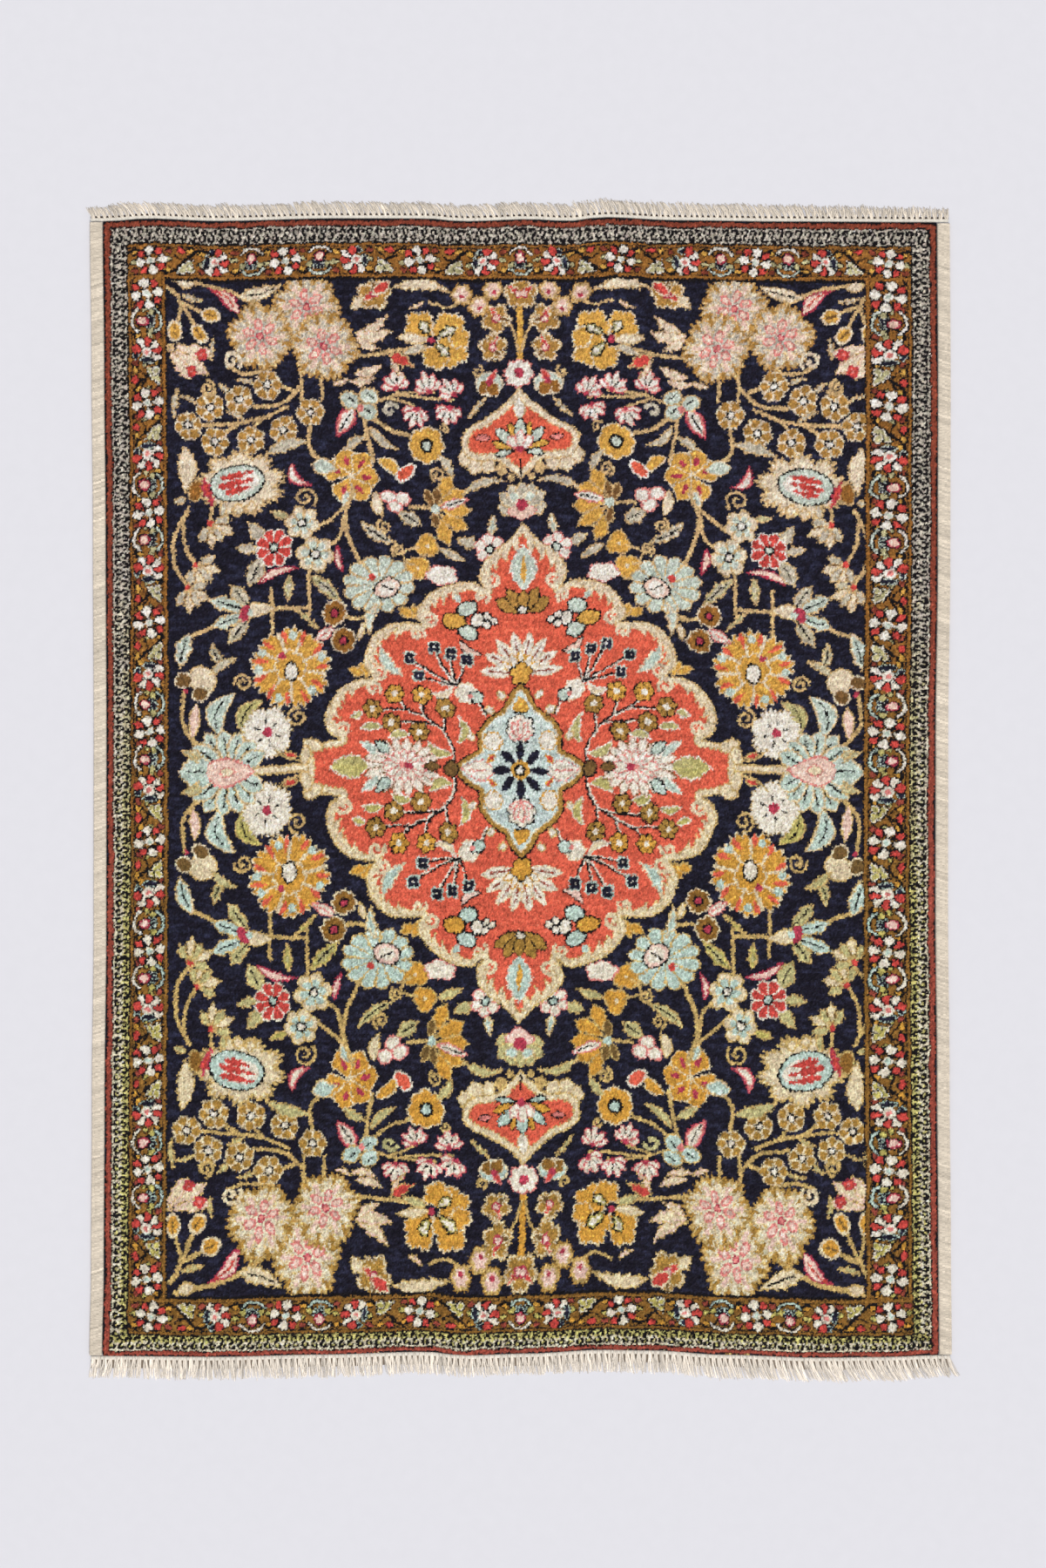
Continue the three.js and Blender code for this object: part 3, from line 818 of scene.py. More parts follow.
fan(field, (0, 110), 26, 90, 120, 5, 9, {"gold": 0, "white": 1.5})
blossom((0, 110), 14, 5, {"black": 0, "gold": 1.8}, 90, 0.25)

# %% Pendant beyond the medallion
PENDANT_EDGE = [
    (0, 436), (14, 420), (38, 402), (60, 391), (68, 378),
    (64, 362), (50, 354), (27, 353), (11, 340), (0, 330),
]
for at, radius, yarn in (
    ((63, 358), 10, "cream"), ((52, 349), 10, "cream"), ((37, 349), 9, "cream"),
    ((22, 344), 9, "tan"), ((12, 334), 6, "tan"),
):
    blossom(at, radius, 5, {"tan": 0, yarn: 1.5}, notch=0.2)
inlay(catmull(PENDANT_EDGE), BAND, SCALLOP_DEEP)
stem([(0, 352), (0, 335)], 2.4, "black")
leaf((0, 398), (0, 424), 15, {"tan": 0, "white": 1.5})
for tip, wide, yarn in (
    ((30, 360), 9, "mint"), ((34, 374), 10, "gold"), ((28, 390), 13, "mint"), ((13, 396), 10, "gold"),
    ((0, 400), 14, "mint"),
):
    leaf((2, 362), tip, wide, {"black": 0, yarn: 1.6}, belly=0.66)
for tip in ((14, 380), (0, 386)):
    leaf((0, 362), tip, 13, {"pink": 0, "white": 1.8}, belly=0.6)
dot((0, 364), 4.5, "crimson")
leaf((34, 379), (52, 379), 9, {"black": 0, "pink": 1.4})
for tip, wide in (((27, 302), 20), ((26, 316), 18), ((14, 326), 18), ((0, 328), 16)):
    leaf((0, 300), tip, wide, LEAF, belly=0.6)
leaf((0, 284), (0, 305), 34, {"pink": 0, "blush": 2}, belly=0.6)
oval((9, 312), 7, 6, {"cream": 0, "mint": 1.5})
dot((0, 303), 7, "crimson")

# %% [markdown]
# ## The borders
# From the outside in, the pile has a black line, a rust stripe, a guard stripe of small hooks and a
# gold-brown main border. The guard is one hook that comes back every few knots. The main border is
# a strip of its own on which four motifs take turns.

# %% Main border motifs
STRIP_WIDE = 42         # mm, the main border as it is drawn
STRIP_MIDDLE = STRIP_WIDE / 2
NAVY_LEAF = {"black": 0, "mint": 1, "navy": 2}


def wheel(strip, u, facing):
    """Eight petals, in turn red drops and wider white ones; it looks the same facing either way."""
    at = (u, STRIP_MIDDLE)
    for lean in range(12, 372, 90):
        for turn, start, reach, wide, yarn in ((0, 2, 19, 15, "white"), (45, 5, 19.5, 12, "red")):
            root, tip = (toward(at, lean + turn, away) for away in (start, reach))
            strip.leaf(root, tip, wide, {"black": 0, yarn: 2.3}, belly=0.68)
    strip.dot(at, 4.5, "white")
    strip.blossom(at, 3.2, 4, {"mint": 0})


def half_flower(strip, u, facing):
    """An open flower that looks along the border, with two navy leaves behind it."""
    heart = (u - 4 * facing, STRIP_MIDDLE - 1)
    for root, tip in (((-13, 11), (-14, 34)), ((-13, 8), (5, 7))):
        strip.leaf((u + root[0] * facing, root[1]), (u + tip[0] * facing, tip[1]), 10, NAVY_LEAF)
    for number, lean in enumerate((112, 76, 40, 4, -34, -70)):
        yarn = "red" if number % 2 else "white"
        lean = lean if facing > 0 else 180 - lean
        root, tip = (toward(heart, lean, away) for away in (3, 19))
        strip.leaf(root, tip, 14, {"black": 0, yarn: 2.1}, belly=0.66)
    strip.dot(heart, 6, "white")
    strip.dot(heart, 3, "pink")


TENDRIL = ((-14, 1), (-8, 0.2), (4, 0), (12, 1))      # ahead along the border, share of the lean


def border_bud(strip, u, facing):
    """A pink bud in a navy cup between two pale tendrils."""
    for across, lean in ((4, 7), (37, -7)):
        line = [(u + ahead, across + lean * share) for ahead, share in TENDRIL]
        for wide, yarn in ((5.4, "black"), (2.2, "mint" if across > STRIP_MIDDLE else "white")):
            strip.stem(line, wide, yarn)
    for lean in (35, 145, 65, 115, 90):
        strip.leaf((u, 19), toward((u, 19), lean, 13), 8, NAVY_LEAF, belly=0.6)
    strip.oval((u, 16), 7, 8.5, {"black": 0, "crimson": 1.6, "blush": 3})
    for side in (-1, 1):
        strip.leaf((u + 6 * side, 27), (u + 15 * side, 24), 10, {"black": 0, "lime": 1.8})


def border_leaf(strip, u, facing):
    """A curled pale leaf, with a red tip on its outer side."""
    pale = {"black": 0, "white": 1.8, "lime": 3}
    strip.leaf((u - 10 * facing, 35), (u + 10 * facing, 16), 18, pale, 0.16 * facing, teeth=3)
    strip.leaf((u + facing, 29), (u + 13 * facing, 34), 12, pale)
    strip.stem([(u - 12 * facing, 14), (u - 2 * facing, 19), (u + 10 * facing, 10)], 2.2, "black")
    strip.leaf((u - 10 * facing, 7), (u + 3 * facing, 8), 10, {"black": 0, "red": 1.8})
    strip.leaf((u + 2 * facing, 9), (u + 13 * facing, 6), 8, {"black": 0, "gold": 1.6})


VINE_SWING = 15         # mm that the dark vine of the border swings to either side
VINE_WIDE = 2.8
EDGE_LINES = (3.2, STRIP_WIDE - 4)      # mm across the strip
EDGE_LINE_WIDE = 1.2
FILLERS = (
    # across from the middle, half length along, width, yarn
    (-14, 5, 9, "rust"), (9, 5, 8, "gold"), (-4, -6, 8, "lime"),
)
BORDER_MOTIFS = {"R": wheel, "h": half_flower, "b": border_bud, "l": border_leaf}


def border_strip(length, start, spacing, order):
    """A strip of main border; the order names a motif and which way it faces for each step."""
    strip = Chart(length, STRIP_WIDE, "ochre")
    for across in EDGE_LINES:
        strip.stem([(0, across), (length, across)], EDGE_LINE_WIDE, "black")
    bends = np.arange(start - spacing, length + spacing, spacing / 2)
    swing = VINE_SWING * np.sin(np.pi * (bends - start) / spacing)
    strip.stem(list(zip(bends, STRIP_MIDDLE + swing)), VINE_WIDE, "black")
    for number in range(int(length / spacing) + 1):
        u = start + (number + 0.5) * spacing
        side = -1 if number % 2 else 1
        for across, ahead, wide, yarn in FILLERS:
            root = (u - ahead, STRIP_MIDDLE + side * across)
            strip.leaf(root, (u + ahead, root[1] + 3 * side), wide, {"black": 0, yarn: 1.7})
    for number, (letter, facing) in enumerate(zip(order[::2], order[1::2])):
        BORDER_MOTIFS[letter](strip, start + number * spacing, 1 if facing == "+" else -1)
    return strip


SIDE_STEP = 31.3        # mm from one motif of the side borders to the next
SIDE_START = 86         # mm from the far edge of the pile to the first wheel
SIDE_ORDER = "R+b+h-l-R+l+h+b+" * 5
END_STEP = 38.4
END_ORDER = "b+h-l-R+l+h+b+R+b+h-l-R+"
SIDE_LONG, END_LONG = 1310, 490         # mm of chart for each strip; an end is drawn from its middle out
side_strip = border_strip(SIDE_LONG, SIDE_START, SIDE_STEP, SIDE_ORDER)
end_strip = border_strip(END_LONG, 0, END_STEP, END_ORDER)

# %% Guard stripe
GUARD_REPEAT, GUARD_WIDE = 10.5, 16        # mm
GUARD_OUTER_LINE, GUARD_INNER_LINE = 1.2, 6
GUARD_GREEN_FROM = 200                     # mm past the rug's middle, where the green line starts
HOOK_WIDE = 3.2
HOOK = [
    (1.6, 5.6), (1.4, 3.2), (4.4, 1.8), (7.2, 3.8), (6.2, 7),
    (4.4, 9.2), (4.2, 12.4), (7, 14.2), (9.6, 12.8), (9.4, 10.4),
]
hooks = Chart(3 * GUARD_REPEAT, GUARD_WIDE, "bone")
for repeat in range(-1, 4):
    hooks.stem([(u + repeat * GUARD_REPEAT, v) for u, v in HOOK], HOOK_WIDE, "black")
    for u, v in ((4.2, 5), (6.8, 11.2), (0.6, 9.4)):
        hooks.dot((u + repeat * GUARD_REPEAT, v), 1.3, "sour")
first = round(GUARD_REPEAT / SQUARE)
guard = hooks.squares[:, first:2 * first]
print("border strips", side_strip.squares.shape, end_strip.squares.shape, "guard repeat", guard.shape)

# %% [markdown]
# ## From chart to knots
# The mesh will have about three hundred thousand knots. Each one has to find its square on the
# chart: it folds its place into the drawn quarter, and a small wander keeps the four quarters from
# being perfect copies, as hands never repeat a row exactly. The near half was woven longer than the
# far half, so a short table stretches it.

# %% Folding a place on the rug into the chart
PILE_WIDE, PILE_LONG = 955, 1301       # mm
DESIGN_AHEAD = 21                      # mm, the medallion's middle lies this far past the rug's own
NEAR_WOVEN = (0, 295, 397, 515, 604.5)     # mm of rug from the design's middle towards the near end
NEAR_DRAWN = (0, 281, 376, 496, 562)       # mm of chart that these came from
BANDS = ("black", "rust", "black", "guard", "black", "main", "black")
BAND_ENDS = {
    # edge: how far from the edge of the pile each band ends, mm
    "left": (2.3, 7.6, 9.2, 26.5, 28.8, 70.5, 72),
    "right": (1.8, 7.6, 9.2, 28.2, 30.4, 82, 83.5),
    "far": (2.4, 7.4, 9.4, 26.4, 28.8, 67, 70.5),
    "near": (1.6, 5.6, 7.2, 23.4, 25.8, 66, 69.5),
}


def drawn_field(x, y):
    """The yarn that the field has at a place, x across and y along from the middle of the pile."""
    wander_x = 1.6 * np.sin(y / 57 + x / 170) + 1.1 * np.sin(x / 43 - y / 91)
    wander_y = 1.5 * np.sin(x / 61 + y / 140 + 1) + 1.1 * np.sin(y / 37 + x / 83)
    u = np.abs(x + wander_x)
    v = y + wander_y - DESIGN_AHEAD
    v = np.where(v > 0, v, np.interp(-v, NEAR_WOVEN, NEAR_DRAWN))
    rows, columns = field.squares.shape
    row = np.clip((v / SQUARE).astype(int), 0, rows - 1)
    column = np.clip((u / SQUARE).astype(int), 0, columns - 1)
    return field.squares[row, column]


def drawn_guard(along, across, wide, y):
    """The yarn of the guard stripe: its repeat, a plain outer line and, nearer, green by the field."""
    rows, columns = guard.shape
    row = np.clip((across / wide * rows).astype(int), 0, rows - 1)
    yarn = guard[row, (along / SQUARE).astype(int) % columns]
    yarn = np.where(across < GUARD_OUTER_LINE, YARN_NUMBER["bone"], yarn)
    green = (across > wide - GUARD_INNER_LINE) & (y < GUARD_GREEN_FROM) & (yarn == YARN_NUMBER["bone"])
    return np.where(green, YARN_NUMBER["sour"], yarn)


def drawn_strip(strip, along, across, wide):
    """The yarn of a main border strip, stretched to the width that was woven."""
    rows, columns = strip.squares.shape
    row = np.clip((across / wide * rows).astype(int), 0, rows - 1)
    column = np.clip((along / SQUARE).astype(int), 0, columns - 1)
    return strip.squares[row, column]


def drawn_border(yarn, edge, depth, along, owns, strip, y):
    """Lays the bands of one edge over the yarns so far, where that edge owns the place."""
    starts = (0, *BAND_ENDS[edge][:-1])
    for band, start, end in zip(BANDS, starts, BAND_ENDS[edge]):
        here = owns & (depth >= start) & (depth < end)
        if band == "guard":
            yarn[here] = drawn_guard(along[here], depth[here] - start, end - start, y[here])
        elif band == "main":
            yarn[here] = drawn_strip(strip, along[here], depth[here] - start, end - start)
        else:
            yarn[here] = YARN_NUMBER[band]


def yarn_at(x, y):
    """The yarn of a knot at x across and y along, measured from the middle of the pile."""
    yarn = drawn_field(x, y)
    depth = {
        "left": PILE_WIDE / 2 + x,
        "right": PILE_WIDE / 2 - x,
        "far": PILE_LONG / 2 - y,
        "near": PILE_LONG / 2 + y,
    }
    band = {edge: np.digitize(depth[edge], BAND_ENDS[edge]) for edge in depth}
    at_end = np.minimum(band["far"], band["near"]) <= np.minimum(band["left"], band["right"])
    for edge in ("left", "right"):
        drawn_border(yarn, edge, depth[edge], depth["far"], ~at_end, side_strip, y)
    for edge in ("far", "near"):
        drawn_border(yarn, edge, depth[edge], np.abs(x), at_end, end_strip, y)
    return yarn


# %% [markdown]
# ## Uneven hands
# Up close no line of the rug is clean. Knots lean into their neighbours and frayed ends catch the
# light, so each place reads its yarn a little off, and gets a tone of its own: uneven dye, with painted
# sheen and painted shade of the tufts. Both come from noise that is softened over a few millimetres: a
# lone wild knot looks like dust, a small clump like wool.

# %% Shade of every knot
SHADE_TURNS = (240, -120)       # mm along the rug over which the second dye batch takes over
FRAY = 0.6                      # mm that a knot leans to either side
WAVER = 0.5                     # mm that whole lines stray
MARGIN = 20                     # mm of noise kept beyond the pile
PAINTED_GAP_SHADOW = 0.5                # what is left of the colour where a painted shadow darkens a gap between knots
PAINTED_GAP_ABOVE = 1.9               # spreads of the noise above which a painted gap shadow falls
TONES = (
    # strength, clump across and along in mm
    (0.18, 1, 1), (0.21, 1, 3), (0.12, 3, 3), (0.05, 31, 5),
)
NAVY_PATCH_SHADE = "#32344c"           # a lighter, bluer navy laid in soft patches
MOST_NAVY_PATCH = 0.8
BATCH_STRAYS = 40               # mm that the change of dye batch strays along the rug
TINT = 0.04                     # spread of each knot's own tint
DARKEST, LIGHTEST = 0.002, 0.95
far_shades = np.array([linear(far) for far, near in YARNS.values()])
near_shades = np.array([linear(near) for far, near in YARNS.values()])
dice = np.random.default_rng(7)


def clumps(across, along):
    """Noise over the rug, one value a millimetre, in clumps of a size, with a spread of one."""
    noise = dice.normal(0, 1, (PILE_LONG + 2 * MARGIN, PILE_WIDE + 2 * MARGIN))
    for axis, size in ((0, along), (1, across)):
        noise = np.apply_along_axis(np.convolve, axis, noise, np.ones(size), "same")
    return noise / noise.std()


lean_x, lean_y = (FRAY * clumps(2, 2) + WAVER * clumps(17, 17) for axis in "xy")
# The tone mixes uneven dye with painted sheen and painted shade of tufts leaning to and from the light.
tone = np.exp(sum(strength * clumps(wide, long) for strength, wide, long in TONES))
# Painted shadow: where the noise runs high, the knot is darkened as if it lay in a gap between knots.
tone = np.where(clumps(1, 2) > PAINTED_GAP_ABOVE, tone * PAINTED_GAP_SHADOW, tone)
tone = tone / tone.mean()
row_tone = clumps(61, 9)
# Soft patches where the navy is made lighter and bluer.
navy_patches = np.clip(0.1 + 0.22 * clumps(9, 4) + 0.12 * clumps(2, 2), 0, MOST_NAVY_PATCH)


def shade_at(x, y):
    """The linear colour of each knot: its yarn, its dye batch, its row, and its uneven cut as painted
    sheen and shade.
    """
    row = np.clip((y + PILE_LONG / 2 + MARGIN).astype(int), 0, tone.shape[0] - 1)
    column = np.clip((x + PILE_WIDE / 2 + MARGIN).astype(int), 0, tone.shape[1] - 1)
    yarn = yarn_at(x + lean_x[row, column], y + lean_y[row, column])
    batch = np.interp(y + BATCH_STRAYS * row_tone[row, column], SHADE_TURNS[::-1], (1, 0))
    shade = far_shades[yarn] * (1 - batch)[..., None] + near_shades[yarn] * batch[..., None]
    # Navy knots are lightened towards a bluer grey in the soft patches.
    navy_patch = (navy_patches[row, column] * (yarn == YARN_NUMBER["navy"]))[..., None]
    shade = shade * (1 - navy_patch) + linear(NAVY_PATCH_SHADE) * navy_patch
    tint = 1 + dice.normal(0, TINT, (*x.shape, 3))
    return np.clip(shade * tone[row, column, None] * tint, DARKEST, LIGHTEST)


print("noise at", tone.size, "places, tone from", np.round(tone.min(), 2), "to", np.round(tone.max(), 2))

# %% [markdown]
# ## Laying the knots on the rug
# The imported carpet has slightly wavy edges, because hand tension is never even. Its lowest ring of
# points gives the four edges, and each place on the straight chart is moved to fit between them.

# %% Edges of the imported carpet
EDGE_STRAYS = 9.5       # mm, no edge wanders further than this from its outermost point
carpet_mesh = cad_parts["carpet"].data
carpet_points = np.empty(3 * len(carpet_mesh.vertices))
carpet_mesh.vertices.foreach_get("co", carpet_points)
carpet_points = carpet_points.reshape(-1, 3) / MM
on_floor = carpet_points[carpet_points[:, 2] < 0.1]
carpet_low, carpet_high = (np.array(corner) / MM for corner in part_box("carpet"))


def edge_of_carpet(run, out, outermost):
    """One edge as places along it and how far out it lies there. run and out are axis numbers."""
    edge = on_floor[np.abs(on_floor[:, out] - outermost) < EDGE_STRAYS]
    edge = edge[np.argsort(edge[:, run])]
    return edge[:, run], edge[:, out]


left_edge = edge_of_carpet(1, 0, carpet_low[0])
right_edge = edge_of_carpet(1, 0, carpet_high[0])
near_edge = edge_of_carpet(0, 1, carpet_low[1])
far_edge = edge_of_carpet(0, 1, carpet_high[1])


def on_rug(across, along):
    """Where a place on the straight chart lies on the finished rug."""
    share_across = across / PILE_WIDE + 0.5
    share_along = along / PILE_LONG + 0.5
    y = carpet_low[1] + (carpet_high[1] - carpet_low[1]) * share_along
    left, right = np.interp(y, *left_edge), np.interp(y, *right_edge)
    x = left + (right - left) * share_across
    near, far = np.interp(x, *near_edge), np.interp(x, *far_edge)
    return x, near + (far - near) * share_along


print("edge stations", [len(edge[0]) for edge in (left_edge, right_edge, near_edge, far_edge)])


# %% [markdown]
# ## Meshes from arrays
# So many knots are too many for one-by-one mesh calls, so one function takes whole arrays.
# Every corner of every face carries its own yarn colour, which the materials read back.

# %% A piece from arrays
def make_piece(name, points, quads, shades, material, rings=(), smooth=False, bake_map=None):
    """A piece from points in mm, faces of four and closing rings, riding on the rug's one body."""
    mesh = bpy.data.meshes.new(name)
    corners = np.concatenate([np.ravel(quads), *rings]).astype(np.int32)
    sizes = np.concatenate([np.full(len(quads), 4), [len(ring) for ring in rings]])
    mesh.vertices.add(len(points))
    mesh.vertices.foreach_set("co", np.ravel(points) * MM)
    mesh.loops.add(len(corners))
    mesh.loops.foreach_set("vertex_index", corners)
    mesh.polygons.add(len(sizes))
    mesh.polygons.foreach_set("loop_start", np.concatenate([[0], np.cumsum(sizes)[:-1]]).astype(np.int32))
    mesh.update(calc_edges=True)
    mesh.polygons.foreach_set("use_smooth", np.full(len(sizes), smooth))
    dyed = np.ones((len(corners), 4), np.float32)
    dyed[:, :3] = 0.5
    dyed[:shades.size // 3, :3] = shades.reshape(-1, 3)
    layer = mesh.color_attributes.new("yarn", "FLOAT_COLOR", "CORNER")
    layer.data.foreach_set("color", dyed.ravel())
    if bake_map is not None:
        mesh.uv_layers.new(name="OFBake").data.foreach_set("uv", np.ravel(bake_map).astype(np.float32))
    mesh.materials.append(material)
    piece = bpy.data.objects.new(name, mesh)
    bpy.context.collection.objects.link(piece)
    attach(piece, "root")
    print(name, len(points), "points,", int((sizes - 2).sum()), "triangles")
    return piece


def grid_faces(rows, columns):
    """The four corners of each square of a grid of points, seen from above."""
    first = np.arange(rows - 1)[:, None] * columns + np.arange(columns - 1)
    return np.stack([first, first + 1, first + columns + 1, first + columns], -1).reshape(-1, 4)


def rim_of(rows, columns):
    """The points round a grid of points, in order."""
    numbers = np.arange(rows * columns).reshape(rows, columns)
    return np.concatenate([numbers[0, :-1], numbers[:-1, -1], numbers[-1, :0:-1], numbers[:0:-1, 0]])


# %% [markdown]
# ## Materials of the rug
# Silk yarn is smooth and long, so clipped knots have a soft sheen, and a fine noise paints glints and
# shade into the base colour, which comes from each knot. The fringe and the side cords are cotton,
# matt and softly mottled.

# %% Yarn materials
FIBRE_RANGE = (0.3, 0.7)        # the part of the noise that mottle and gloss use
GLOSS_VARIES = 0.12
YARN_LOOKS = {
    # material: (grain in mm, roughness, sheen, gloss level, bump in mm, light, dark); light and dark bound
    # the painted glint and shade of the fibre mottle
    # Clipped silk: painted shade between the tufts, and a painted glint where a tuft leans to the light.
    "knotted_silk_clipped": (1.1, 0.58, 0.01, 0.07, 0.4, 1.2, 0.84),
    # The back of a knotted cloth: the same yarns seen as flat ribbed loops, matt and a little dusty.
    "knotted_back_ribbed": (1.6, 0.8, 0.02, 0.1, 0.3, 1.08, 0.9),
    # Cotton yarn wrapped tightly over the edge: matt, with a soft fuzz.
    "overcast_cotton_wrapped": (0.9, 0.85, 0.05, 0.1, 0.25, 1.1, 0.92),
    # Cut cotton warp ends: matt strands, with painted highlights on their backs and painted shade between
    # them.
    "cotton_warp_cut": (0.8, 0.85, 0.05, 0.1, 0.15, 1.08, 0.92),
}


def yarn_material(name, grain, roughness, sheen, gloss_level, bump, light, dark):
    """A yarn whose colour is in the mesh, with a fibre mottle of painted glint and shade at the scale of
    grain, in mm.
    """
    material, tree, surface = new_material(name)
    yarn = add_node(tree, "ShaderNodeVertexColor", layer_name="yarn")
    place = add_node(tree, "ShaderNodeTexCoord")
    fibre = add_node(tree, "ShaderNodeTexNoise", {
        "Vector": place.outputs["Object"], "Scale": 1 / (grain * MM), "Detail": 3,
    })
    from_fibre = {0: fibre.outputs[0], 1: FIBRE_RANGE[0], 2: FIBRE_RANGE[1]}
    # Painted glint and shade: the fibre noise makes the yarn colour lighter and darker.
    tone = add_node(tree, "ShaderNodeMapRange", {**from_fibre, 3: dark, 4: light})
    mottled = add_node(tree, "ShaderNodeVectorMath", {
        0: yarn.outputs[0], 1: tone.outputs[0],
    }, operation="MULTIPLY")
    gloss = add_node(tree, "ShaderNodeMapRange", {
        **from_fibre, 3: roughness + GLOSS_VARIES, 4: roughness - GLOSS_VARIES,
    })
    relief = add_node(tree, "ShaderNodeBump", {
        "Height": fibre.outputs[0], "Distance": bump * MM, "Strength": 0.7,
    })
    shader = add_node(tree, "ShaderNodeBsdfPrincipled", {
        "Base Color": mottled.outputs[0], "Roughness": gloss.outputs[0], "Normal": relief.outputs[0],
        "Sheen Weight": sheen, "Sheen Roughness": 0.4, "IOR": 1.54, "Specular IOR Level": gloss_level,
    })
    tree.links.new(shader.outputs[0], surface.inputs[0])
    return material


silk_pile, knotted_back, overcast_cotton, warp_cotton = (
    yarn_material(name, *look) for name, look in YARN_LOOKS.items()
)
print(len(YARN_LOOKS), "yarn materials")

# %% [markdown]
# ## The pile
# The pile could be a flat sheet with a bump map, but then a low view would show no pile at all. It is
# built as real relief instead: a grid of knots two millimetres apart, each pushed a little up, down and
# aside. Dark dyes eat into silk, so black and navy knots stand lower. Four strips keep each mesh light.

# %% Measures of the pile, and the places and colours of its knots
KNOT = 2                # mm from knot to knot in the mesh; colours change twice as finely
PILE_TOP = 4.75         # mm above the floor
PILE_FOOT = 2.05
PILE_INSET = 0.35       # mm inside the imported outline
DARK_SINKS = 0.45       # mm
UNEVEN_CUT = 0.26       # mm
SHOULDER_LONG = 2.2     # mm over which the pile's edge is rounded
SHOULDER_DROP = 1.3
STRIPS = 4
BAKE_FILL = 0.95        # share of the bake map that the seen side takes
BAKE_GUTTER = 0.002     # share left free between the two sides
HIDDEN_FILL = 0.9       # share of the margin that the hidden faces take


def place_grid(step):
    """Places on the straight chart, about a step apart, over the whole pile."""
    halves = (PILE_WIDE / 2 - PILE_INSET, PILE_LONG / 2 - PILE_INSET)
    counts = (round(PILE_WIDE / step), round(PILE_LONG / step))
    return np.meshgrid(*(np.linspace(-half, half, count + 1) for half, count in zip(halves, counts)))


def corner_shades(x, y, shift):
    """Four colours for each square of a grid, taken from its middle a little towards each corner."""
    middle_x, middle_y = ((grid[:-1, :-1] + grid[1:, 1:]) / 2 for grid in (x, y))
    return shade_at(middle_x[..., None] + shift[:, 0], middle_y[..., None] + shift[:, 1])


def bake_places(quads, x, y, closing):
    """Flat places for baking: the seen side over most of the map, hidden faces in a narrow margin."""
    share_x = np.interp(x, (x.min(), x.max()), (0, 1))
    share_y = np.interp(y, (y.min(), y.max()), (0, BAKE_FILL))
    seen = np.stack([share_x, share_y], -1)
    hidden = seen * (1, 1 - BAKE_FILL) * (1, HIDDEN_FILL) + (0, BAKE_FILL + BAKE_GUTTER)
    return np.concatenate([seen[np.ravel(quads)], *(hidden[ring] for ring in closing)])

# %% Relief of the whole pile
across, along = place_grid(KNOT)
knot_rows = len(along) - 1
pile_x, pile_y = on_rug(across, along)
from_edge = np.minimum(PILE_WIDE / 2 - np.abs(across), PILE_LONG / 2 - np.abs(along))
dark = np.isin(yarn_at(across, along), [YARN_NUMBER["navy"], YARN_NUMBER["black"]])
pile_z = PILE_TOP - DARK_SINKS * dark - SHOULDER_DROP * np.exp(-from_edge / SHOULDER_LONG)
pile = np.stack([pile_x, pile_y, pile_z], -1)
pile += dice.normal(0, UNEVEN_CUT, pile.shape) * (from_edge > 1)[..., None]
corner_shift = KNOT / 4 * np.array([(-1, -1), (1, -1), (1, 1), (-1, 1)])
print("pile of", dark.size, "knot corners,", round(100 * float(dark.mean())), "% of them dark and sunk")

# %% Four strips of knotted pile
for number in range(STRIPS):
    rows = slice(number * knot_rows // STRIPS, (number + 1) * knot_rows // STRIPS + 1)
    part = pile[rows]
    shape = part.shape[:2]
    quads = grid_faces(*shape)
    shades = corner_shades(across[rows], along[rows], corner_shift)
    top = part.reshape(-1, 3)
    rim = rim_of(*shape)
    foot = top[rim] * (1, 1, 0) + (0, 0, PILE_FOOT)
    foot_ring = np.arange(len(rim)) + len(top)
    skirt = np.stack([foot_ring, np.roll(foot_ring, -1), np.roll(rim, -1), rim], -1)
    points = np.vstack([top, foot])
    closing = [*skirt, foot_ring[::-1]]
    make_piece(
        f"pile_strip_{number + 1}", points, quads, shades, silk_pile, closing,
        bake_map=bake_places(quads, points[:, 0], points[:, 1], closing))

# %% [markdown]
# ## The cloth under the pile
# Below the knots lies the woven foundation. From below it shows the same design in small flat loops,
# so its underside gets the knots' colours, a little dulled. This is the sheet that the rug is cut to.

# %% Foundation sheet
BACK_STEP = 6           # mm
FOUNDATION_TOP = 1.95   # mm
BACK_DULL = 0.72
COTTON_SHOWS = 0.1      # share of the back where the cotton shows between the loops
COTTON_SHADE = "#d9cfbc"
back_across, back_along = place_grid(BACK_STEP)
back_x, back_y = on_rug(back_across, back_along)
back_shift = corner_shift * BACK_STEP / KNOT
shades = corner_shades(back_across, back_along, back_shift) * BACK_DULL * (1 - COTTON_SHOWS)
shades = (shades + linear(COTTON_SHADE) * COTTON_SHOWS).reshape(-1, 4, 3)[:, ::-1]
under = np.stack([back_x, back_y, np.zeros(back_x.shape)], -1).reshape(-1, 3)
rim = rim_of(*back_x.shape)
lid = under[rim] + (0, 0, FOUNDATION_TOP)
lid_ring = np.arange(len(rim)) + len(under)
points = np.vstack([under, lid])
closing = [*np.stack([rim, np.roll(rim, -1), np.roll(lid_ring, -1), lid_ring], -1), lid_ring]
quads = grid_faces(*back_x.shape)[:, ::-1]
foundation = make_piece(
    "foundation_cloth", points, quads, shades, knotted_back, closing,
    bake_map=bake_places(quads, points[:, 0], points[:, 1], closing))
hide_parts("carpet")

# %% [markdown]
# ## Side cords
# Each long edge is a few warps wrapped over and over with thick cotton. The wraps are what the eye
# sees, so the cord is a flat section swept along the edge whose surface rises and falls with every
# wrap. A shallow groove near the outer side shows where two bundles lie next to each other.

